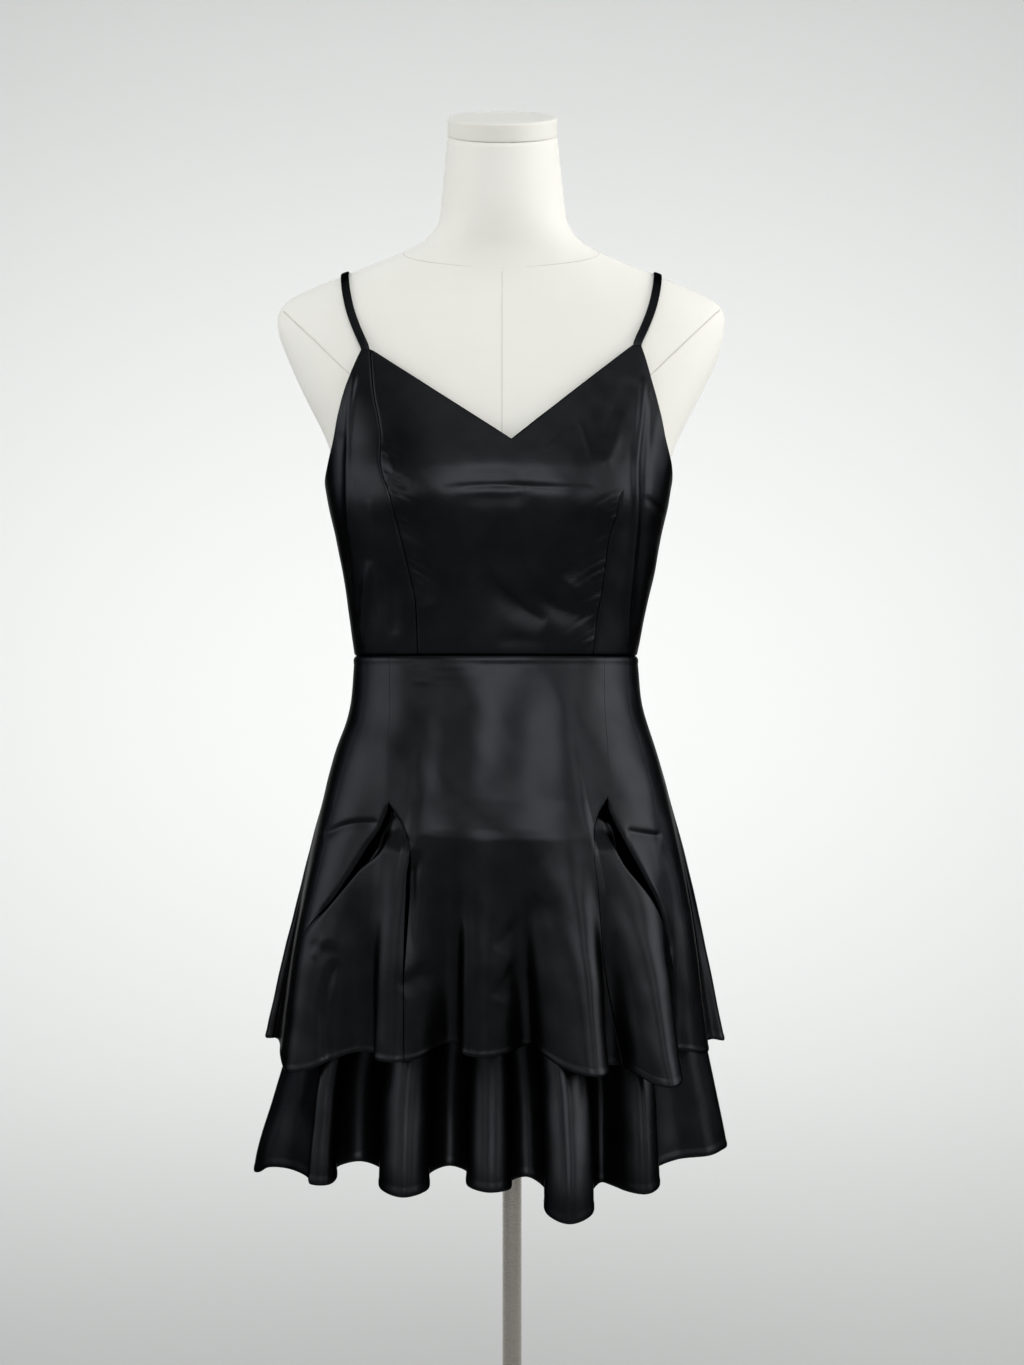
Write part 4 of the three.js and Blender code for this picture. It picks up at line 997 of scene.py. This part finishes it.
def front_edge(seam, key, clear=0.0):
    """A seam's bearing at t, where the hem's drop moves the height a little."""

    def line(t):
        angle = seam["at"](key, mix(UPPER_TOP_Z, UPPER_HEM_Z, t))
        for _ in range(4):
            angle = seam["at"](key, mix(UPPER_TOP_Z, UPPER_HEM(angle, "z"), t))
        return angle + clear

    return line


GODET_TOP = 0.39  # t at which a godet starts, just above its opening
COVERED = 0.62  # t down to which the upper tier covers the lower one, which has few rows there


def build_upper_tier():
    left, right = SEAMS["left"], SEAMS["right"]
    length, spacing, back_spacing = 360, 1.9, 3.1
    rows = rows_down(length, spacing)
    godet_rows = rows[rows > GODET_TOP]
    panels = (
        # name, surface, lines, rows, spacing, borders that are sewn flat
        ("upper_back", None, fixed(SIDE_SEAM, 270), rows_down(length, back_spacing), back_spacing,
         ("left", "right")),
        ("upper_side_left", edge_depth(left), [*fixed(-SIDE_SEAM), front_edge(left, "edge")], rows,
         spacing, ("left",)),
        ("upper_godet_left", godet_depth(left),
         [front_edge(left, "edge"), front_edge(left, "inner", -0.2)], godet_rows, spacing, ()),
        ("upper_centre", centre_depth, [front_edge(left, "inner"), front_edge(right, "inner")], rows,
         spacing, ()),
        ("upper_godet_right", godet_depth(right),
         [front_edge(right, "inner", 0.2), front_edge(right, "edge")], godet_rows, spacing, ()),
        ("upper_side_right", edge_depth(right), [front_edge(right, "edge"), *fixed(SIDE_SEAM)], rows,
         spacing, ("right",)),
    )
    for name, depth, lines, ts, gap, sewn in panels:
        grid = panel(upper_tier(depth), lines, ts, gap)
        thing = cloth("satin_" + name, grid, skirt_relief(grid, sewn), SATIN)
        finish_cloth(thing, "satin", name)


def build_lower_tier():
    surface = tier(lower_section, LOWER_HEM, LOWER_TOP_Z, LOWER_HEM_Z, 2)
    high = np.linspace(0, COVERED, 16)[:-1]
    for name, start, spacing in (("lower_front", -SIDE_SEAM, 2.2), ("lower_back", SIDE_SEAM, 3.0)):
        low = mix(COVERED, 1, rows_down(170, spacing))
        ts = np.concatenate([high, low[(low < 0.625) | (low > 0.635)]])
        grid = panel(surface, fixed(start, start + 180), ts, spacing)
        edges = borders(grid)
        relief = unevenness(grid, 24, 0.25) + seam_dip(edges, "left", "right")
        thing = cloth("satin_" + name, grid, relief + hem_band(edges["bottom"]), SATIN)
        finish_cloth(thing, "satin", name)


# ---------- Bodice ----------
def bodice_relief(grid):
    x, y, z = np.moveaxis(grid, -1, 0)
    edges = borders(grid)
    sewn = puckers(x, z, DART, side=-1, low=926, high=1064, height=0.9, reach=9)
    sewn += puckers(x, z, PRINCESS, side=1, low=970, high=1104, height=0.7, reach=8)
    sewn += turned_under(x - DART["x"](z)) * (1 - smooth(z, DART_TOP - 11, DART_TOP))
    relief = front_and_back(grid, BODICE_CREASES, BACK_BODICE_CREASES) + sewn * at_front(y)
    relief += unevenness(grid, 17, 0.25) + seam_dip(edges, "bottom", "left", "right")
    return relief - 0.45 * np.exp(-((edges["top"] / 0.7) ** 2))


def sewn_line(first_angle, x_at):
    """A line down the bodice by t, from its x by height and a bearing close to it."""

    def line(t):
        angle = np.full(np.shape(t), float(first_angle))
        for _ in range(6):
            z = mix(bodice_top(angle), WAIST_Z, t)
            angle = bearing(bodice_section, x_at(z), z)
        return angle

    return line


def dart_x(z):
    """The dart's x, which runs on above it to the strap."""
    return mix(DART["x"](z), APEX_RIGHT["x"], smooth(z, DART_TOP, APEX_RIGHT["z"]))


def build_bodice():
    neck = bearing(bodice_section, NECK_POINT["x"], NECK_POINT["z"])
    princess, dart = sewn_line(-50, PRINCESS["x"]), sewn_line(50, dart_x)
    front, back = (230, 1.75), (155, 2.4)
    panels = (
        # name, lines, length and spacing, the lines that are sewn inside the panel
        ("bodice_side_left", [*fixed(-SIDE_SEAM, -67, -62.8, STRAP_LEFT), princess], front, ()),
        ("bodice_front", [princess, *fixed(neck), dart, *fixed(STRAP_RIGHT, 63.2, 67, SIDE_SEAM)], front,
         (2,)),
        ("bodice_back_right", fixed(SIDE_SEAM, 180), back, ()),
        ("bodice_back_left", fixed(180, 270), back, ()),
    )
    for name, lines, (length, spacing), seams in panels:
        grid = panel(bodice, lines, rows_down(length, spacing), spacing, guide=0.6, seams=seams)
        thing = cloth("satin_" + name, grid, bodice_relief(grid), SATIN)
        finish_cloth(thing, "satin", name)


build_bodice()
build_upper_tier()
build_lower_tier()

# ---------- Dress form ----------
NECK_TILT = math.radians(22)
NECK_TOP = np.array([-8.5, -13, 1388])
NECK_TOP_RADIUS = 49
NECK_BASE_Z = 1316
CAP_HEIGHT = 17
FORM_COLUMNS = 144
QUARTER = np.linspace(0, math.pi / 2, 7)


def form_point(turn, z):
    """A point of the form. The turn is its section's own parameter, in radians from the front."""
    s, c = np.sin(turn), -np.cos(turn)
    wide, deep, power = reaches(FORM, z, FORM_MIDDLE, s < 0, c < 0)
    x = FORM_MIDDLE + np.sign(s) * wide * np.abs(s) ** (2 / power)
    y = np.sign(c) * deep * np.abs(c) ** (2 / power)
    return np.stack([x, y + np.where(y < 0, bust_rise(x, z, FORM_BUST), 0), z + 0 * x], -1)


def neck_point(turn, radius, along):
    """A point round the neck's tilted axis, at a distance along it from the neck's top."""
    s, c = np.sin(turn), -np.cos(turn)
    sin, cos = math.sin(NECK_TILT), math.cos(NECK_TILT)
    x = NECK_TOP[0] + radius * s
    y = NECK_TOP[1] + radius * c * cos - along * sin
    return np.stack([x, y, NECK_TOP[2] + radius * c * sin + along * cos], -1)


def even_ring(ring):
    """A closed ring of points, spaced again in even steps of its length."""
    return evenly(np.concatenate([ring, ring[:1]]), FORM_COLUMNS, endpoint=False)


def loft(name, rings, material):
    """A closed smooth body from rings of points, with a fan at each end."""
    rings = np.asarray(rings)
    points = np.concatenate([rings.reshape(-1, 3), rings[:1].mean(1), rings[-1:].mean(1)])
    at, after, faces = ring_faces(*rings.shape[:2])
    low, high = len(points) - 2, len(points) - 1
    faces += [(low, b, a) for a, b in zip(at[0].tolist(), after[0].tolist())]
    faces += [(high, a, b) for a, b in zip(at[-1].tolist(), after[-1].tolist())]
    thing = add_mesh(name, points, faces)
    thing.data.materials.append(material)
    return thing


def rounded_edge(side, low, edge):
    """A profile's quarter circle, from its side at a height up to its top."""
    return [(side - edge + edge * math.cos(a), low + edge * math.sin(a)) for a in QUARTER[1:]]


def turned(name, profile, material, segments=96):
    """A closed smooth body turned round the pole's axis from a profile of radius and height."""
    turns = all_round(segments)
    rings = [np.stack([r * np.sin(turns), -r * np.cos(turns), z + 0 * turns], -1) for r, z in profile]
    return loft(name, rings, material)


def cord(name, points, radius, material):
    """A thin round cord along points."""
    way = unit(np.gradient(points, axis=0))
    side = unit(np.cross(way, (0.3, 0.9, 0.31)))  # across a direction that no seam runs in
    up = np.cross(side, way)
    turns = all_round(8)[:, None]
    rings = points[:, None] + radius * (np.cos(turns) * up[:, None] + np.sin(turns) * side[:, None])
    return loft(name, rings, material)


def build_form():
    turns = all_round(720)
    shoulders = np.arange(1214, NECK_BASE_Z, 3.5)
    rounded_base = [676, 676.6, 678, 681]
    heights = np.concatenate([rounded_base, np.arange(686, 1212, 7), shoulders])
    rings = [even_ring(form_point(turns, z)) for z in heights]
    base = even_ring(form_point(turns, NECK_BASE_Z))
    top = even_ring(neck_point(turns, NECK_TOP_RADIUS, 0))
    rings += [mix(base, top, share) for share in np.linspace(0, 1, 15)]
    rings = np.array(rings)
    first = 60  # of the rings of the chest and neck, which are evened out
    for _ in range(6):
        middle = (rings[:-2] + 2 * rings[1:-1] + rings[2:]) / 4
        rings[first:-1] = middle[first - 1 :]
    finish_piece(loft("cover_torso", rings, COVER), "form_cover", "form_torso")

    rim = [(NECK_TOP_RADIUS - 0.8, 0.5), (NECK_TOP_RADIUS - 0.2, 0.8), (NECK_TOP_RADIUS, 1.6)]
    rim += [(NECK_TOP_RADIUS, z) for z in (5, 9, CAP_HEIGHT - 3)]
    rim += rounded_edge(NECK_TOP_RADIUS, CAP_HEIGHT - 3, 2.6)
    rim += [(r, CAP_HEIGHT - 0.4 + 0.4 * (1 - (r / NECK_TOP_RADIUS) ** 2)) for r in (40, 30, 20, 10)]
    rings = [neck_point(all_round(120), radius, along) for radius, along in rim]
    finish_piece(loft("cover_neck_cap", rings, CAP_COVER), "form_cap", "form_neck_cap")


def form_turn(x, z, back):
    """The turn at which the form's section reaches an x, on its front or back."""
    wide, _, power = reaches(FORM, z, FORM_MIDDLE, x < FORM_MIDDLE, not back)
    share = np.clip(np.abs(x - FORM_MIDDLE) / wide, 0, 1) ** (power / 2)
    turn = np.sign(x - FORM_MIDDLE) * np.arcsin(share)
    return math.pi - turn if back else turn


def build_form_seams():
    """Sewn seams of the cover: centre front and back, round the neck's base, and the two armholes."""
    paths = {}
    middle_x, low_z, steps = -8.5, 700, 180
    for name, top_z, back in (("front", 1262, False), ("back", 1308, True)):
        down = np.linspace(top_z, low_z, steps)
        paths["cover_seam_" + name] = form_point(form_turn(np.full(steps, middle_x), down, back), down)
    turn = np.linspace(0, 2 * math.pi, 241)
    front_z, climb = 1263.6, 48
    height = front_z + climb * ((1 - np.cos(turn)) / 2) ** 0.75
    paths["cover_seam_neck"] = form_point(turn, height)
    for name, x, z, way in (("left", -204, 1231, -1), ("right", 185.5, 1232, 1)):
        # Each armhole's seam slants up and out to its shoulder point, at 45 degrees.
        rise = z - np.linspace(110, 0.3, 90)
        across = x - way * (z - rise)
        front, back = (form_point(form_turn(across, rise, side), rise) for side in (False, True))
        paths["cover_seam_armhole_" + name] = np.concatenate([front, back[::-1]])
    for name, points in paths.items():
        finish_piece(cord(name, points, 0.42, COVER_SEAM), "form_cover")


# ---------- Straps ----------
STRAP_WIDTH = 7.5
STRAP_THICKNESS = 2
STRAP_CLEARANCE = 1.2
STRAP_WALL = 0.5
TUCK = 9  # how far a strap's ends run down inside the bodice
STRAPS = (
    # name, x and z of the front end, x on the shoulder, bearing of the back end
    ("strap_left", -126.3, 1187, -150, 218),
    ("strap_right", 107.8, 1191, 131, 142),
)


def form_level(p):
    """How far out of the form a point is: under 1 is inside."""
    x, y, z = np.moveaxis(p, -1, 0)
    wide, deep, power = reaches(FORM, z, FORM_MIDDLE, x < FORM_MIDDLE, y < 0)
    deep = deep - np.where(y < 0, bust_rise(x, z, FORM_BUST), 0)
    return (np.abs(x - FORM_MIDDLE) / wide) ** power + (np.abs(y) / deep) ** power


def strap_path(front, back, top_x):
    """A strap's middle line from its front end over the shoulder to its back end, drawn tight on the form."""
    hub = np.array([5.0, 1150.0])  # y and z of the point inside the chest that the line turns about
    ends = np.array([math.atan2(p[2] - hub[1], p[1] - hub[0]) for p in (front, back)])
    turn = np.linspace(ends[0], ends[1], 121)
    climb = [np.clip((np.sin(turn) - low) / (1 - low), 0, 1) for low in np.sin(ends)]
    before = turn > math.pi / 2
    x = np.where(before, mix(front[0], top_x, climb[0]), mix(back[0], top_x, climb[1]))
    near, far = np.zeros(turn.shape), np.full(turn.shape, 300.0)
    for _ in range(40):
        half = (near + far) / 2
        place = np.stack([x, hub[0] + half * np.cos(turn), hub[1] + half * np.sin(turn)], -1)
        inside = form_level(place) < 1
        near, far = np.where(inside, half, near), np.where(inside, far, half)
    reach = near + STRAP_CLEARANCE + STRAP_THICKNESS / 2
    for i, p in ((0, front), (-1, back)):
        reach[i] = math.hypot(p[1] - hub[0], p[2] - hub[1])
    u, v = reach * np.cos(turn), reach * np.sin(turn)
    hull = []
    for i in range(len(turn)):
        while len(hull) > 1:
            c, d = hull[-2:]
            if (u[d] - u[c]) * (v[i] - v[d]) - (v[d] - v[c]) * (u[i] - u[d]) < 0:
                break
            hull.pop()
        hull.append(i)
    u, v = (np.interp(np.arange(len(turn)), hull, w[hull]) for w in (u, v))
    return evenly(np.stack([x, hub[0] + u, hub[1] + v], -1), 100)


def strap_rings(path, wall):
    """Flat ovals across a strap's middle line, a wall's thickness inside its outside."""
    way = unit(np.gradient(path, axis=0))
    slope = [form_level(path + step) - form_level(path - step) for step in np.eye(3)]
    side = unit(np.cross(way, unit(np.stack(slope, -1))))
    out = np.cross(side, way)
    c, s = np.cos(all_round(28))[:, None], np.sin(all_round(28))[:, None]
    across = (STRAP_WIDTH / 2 - wall) * np.sign(c) * np.abs(c) ** 0.55
    up = (STRAP_THICKNESS / 2 - wall) * np.sign(s) * np.abs(s) ** 0.8
    return path[:, None] + side[:, None] * across + out[:, None] * up


def build_straps():
    """Narrow turned tubes of satin, pressed flat, with their ends tucked behind the bodice's edge."""
    inside = np.array([0, CLOTH + STANDOFF + STRAP_THICKNESS / 2, 0])
    for name, x, z, top_x, back in STRAPS:
        front = bearing(bodice_section, x, z)
        edge = bodice(back, 0)
        path = strap_path(bodice_point(front, z) + (0, 0.6, 2), edge + (0, -0.6, 2), top_x)
        # Both ends run on down, behind the cloth.
        low_front = bodice_point(front, z - TUCK) + inside
        low_back = bodice_point(back, edge[2] - TUCK) - inside
        tail = np.linspace(0, 1, 6)[:-1, None]
        path[0] += 0.8 * inside
        path[-1] -= 0.8 * inside
        path = np.concatenate([mix(low_front, path[0], tail), path, mix(path[-1], low_back, tail + 0.2)])
        for _ in range(4):
            path[1:-1] = (path[:-2] + 2 * path[1:-1] + path[2:]) / 4
        skins = [strap_rings(path, wall) for wall in (0, STRAP_WALL)]
        thing = tube("satin_" + name, *skins, STRAP_SATIN)
        finish_cloth(thing, "strap_satin", name)


def tube(name, outer, inner, material):
    """An open tube with a wall, from rings of its outside and inside."""
    levels, count = outer.shape[:2]
    at, after, faces = ring_faces(levels, count)
    under, under_after = at + at.size, after + at.size
    faces += (
        quads(under[:-1], under[1:], under_after[1:], under_after[:-1])
        + quads(at[0], under[0], under_after[0], after[0])
        + quads(at[-1], after[-1], under_after[-1], under[-1])
    )
    round_it = np.linspace(0, 2 * STRAP_WIDTH, count)
    uv = np.stack(np.broadcast_arrays(round_it[None], lengths(outer[:, 0], 0)[:, None]), -1)
    return add_shell(name, outer, inner, faces, uv, material)


# ---------- Stand ----------
POLE_RADIUS = 8.6


def build_stand():
    foot, height, edge = 165, 12, 3
    rim = [(foot - 1, 0), (foot - 0.3, 0.3), (foot, 1), (foot, height - edge)]
    rim += rounded_edge(foot, height - edge, edge) + [(r, height) for r in (150, 100, 50, 24)]
    finish_piece(turned("steel_foot", rim, STEEL, 128), "stand_steel", "foot")
    base = height + 0.4
    flange = [(21.6, base), (22, base + 0.6), (22, base + 7), (21.4, base + 8), (17, base + 10.5)]
    sleeve = [(13.6, base + 13.6), (13, base + 15), (13, base + 44.6), (12.6, base + 45.6), (11.6, base + 46)]
    finish_piece(turned("steel_collar", flange + sleeve, NICKEL), "stand_steel", "foot_collar")
    pole = [(POLE_RADIUS - 0.4, 58.8), (POLE_RADIUS, 59.2)]
    pole += [(POLE_RADIUS, z) for z in np.linspace(80, 660, 30)]
    pole += [(POLE_RADIUS, 675.2), (POLE_RADIUS - 0.4, 675.6)]
    finish_piece(turned("nickel_pole", pole, NICKEL), "stand_steel", "pole")


build_form()
build_form_seams()
build_straps()
build_stand()


# ---------- Stage, camera and lights ----------
def build_stage():
    """A pale studio bowl: a flat floor that curves up all round into an even wall, open at the top."""
    flat, curve, top, turns = 2400, 3000, 6500, 96
    bend = np.linspace(0, math.pi / 2, 25)[1:]
    profile = [(r, 0) for r in np.linspace(20, flat, 10)]
    profile += [(flat + curve * math.sin(a), curve - curve * math.cos(a)) for a in bend]
    profile += [(flat + curve, z) for z in np.linspace(curve, top, 6)[1:]]
    points = [(r * math.cos(a), r * math.sin(a), z) for r, z in profile for a in all_round(turns)]
    at, _, faces = ring_faces(len(profile), turns)
    bowl = add_mesh("studio_bowl", points, [*faces, at[0].tolist()])
    material, tree, shader = new_material("studio_paint")
    feed(tree, shader, Base_Color=(0.36, 0.364, 0.36, 1), Roughness=0.95, Specular_IOR_Level=0.1)
    bowl.data.materials.append(material)


LIGHTS = (
    # name, place, target, width and height, radiance, spread in degrees
    ("window_right", (2.9, -0.2, 1.7), (0, 0, 1.1), (2.6, 1.8), 2.05, 120),
    ("front_right", (2.3, -2.7, 1.9), (0, 0, 1.1), (0.9, 1.6), 1.58, 120),
    ("front_band", (0.1, -3.7, 2.35), (0, 0, 1.1), (2.2, 1.6), 2.1, 120),
    ("front_left", (-2.2, -2.8, 1.35), (0, 0, 1.1), (1.2, 0.55), 1.65, 120),
    ("left_panel", (-2.9, -0.3, 1.65), (0, 0, 1.1), (3.2, 1.7), 1.2, 120),
    ("front_top", (0, -3.0, 4.3), (0, 0, 1.1), (3.4, 1.0), 0.48, 120),
    ("floor_front", (0, -3.1, 1.9), (0, -3.1, 0), (2.4, 1.2), 0.9, 80),
    ("back_wash", (0, 1.9, 4.6), (0, 4.0, 1.3), (4.0, 1.6), 11.8, 120),
)
WINDOW_COLOUR = (1, 0.99, 0.97)


def add_light(name, place, target, size, radiance, spread):
    """A soft box at a place, turned to a target. Its power gives the radiance on its face."""
    light = bpy.data.lights.new(name, "AREA")
    light.shape = "RECTANGLE"
    light.size, light.size_y = size
    light.energy = radiance * math.pi * size[0] * size[1]
    if name == "window_right":
        light.color = WINDOW_COLOUR
    light.spread = math.radians(spread)
    thing = bpy.data.objects.new(name, light)
    thing.visible_camera = False
    bpy.context.scene.collection.objects.link(thing)
    thing.location = place
    way = np.array(target, float) - np.array(place, float)
    yaw = math.atan2(way[0], -way[1])
    pitch = math.atan2(math.hypot(way[0], way[1]), -way[2])
    thing.rotation_euler = (pitch, 0, yaw + math.pi)


def build_lights():
    for row in LIGHTS:
        add_light(*row)
    world = bpy.data.worlds.new("studio_world")
    bpy.context.scene.world = world
    world.use_nodes = True
    feed(world.node_tree, world.node_tree.nodes["Background"], Color=(0.95, 0.98, 1, 1), Strength=0.46)


def build_camera():
    camera = bpy.data.cameras.new("camera")
    camera.lens, camera.sensor_width = 52.747, 36
    thing = bpy.data.objects.new("camera", camera)
    bpy.context.scene.collection.objects.link(thing)
    thing.location = (0, -1.8, 0.9)
    thing.rotation_euler = (math.pi / 2, 0, 0)
    bpy.context.scene.camera = thing


build_stage()
build_lights()
build_camera()
bpy.context.scene.view_settings.view_transform = "Standard"
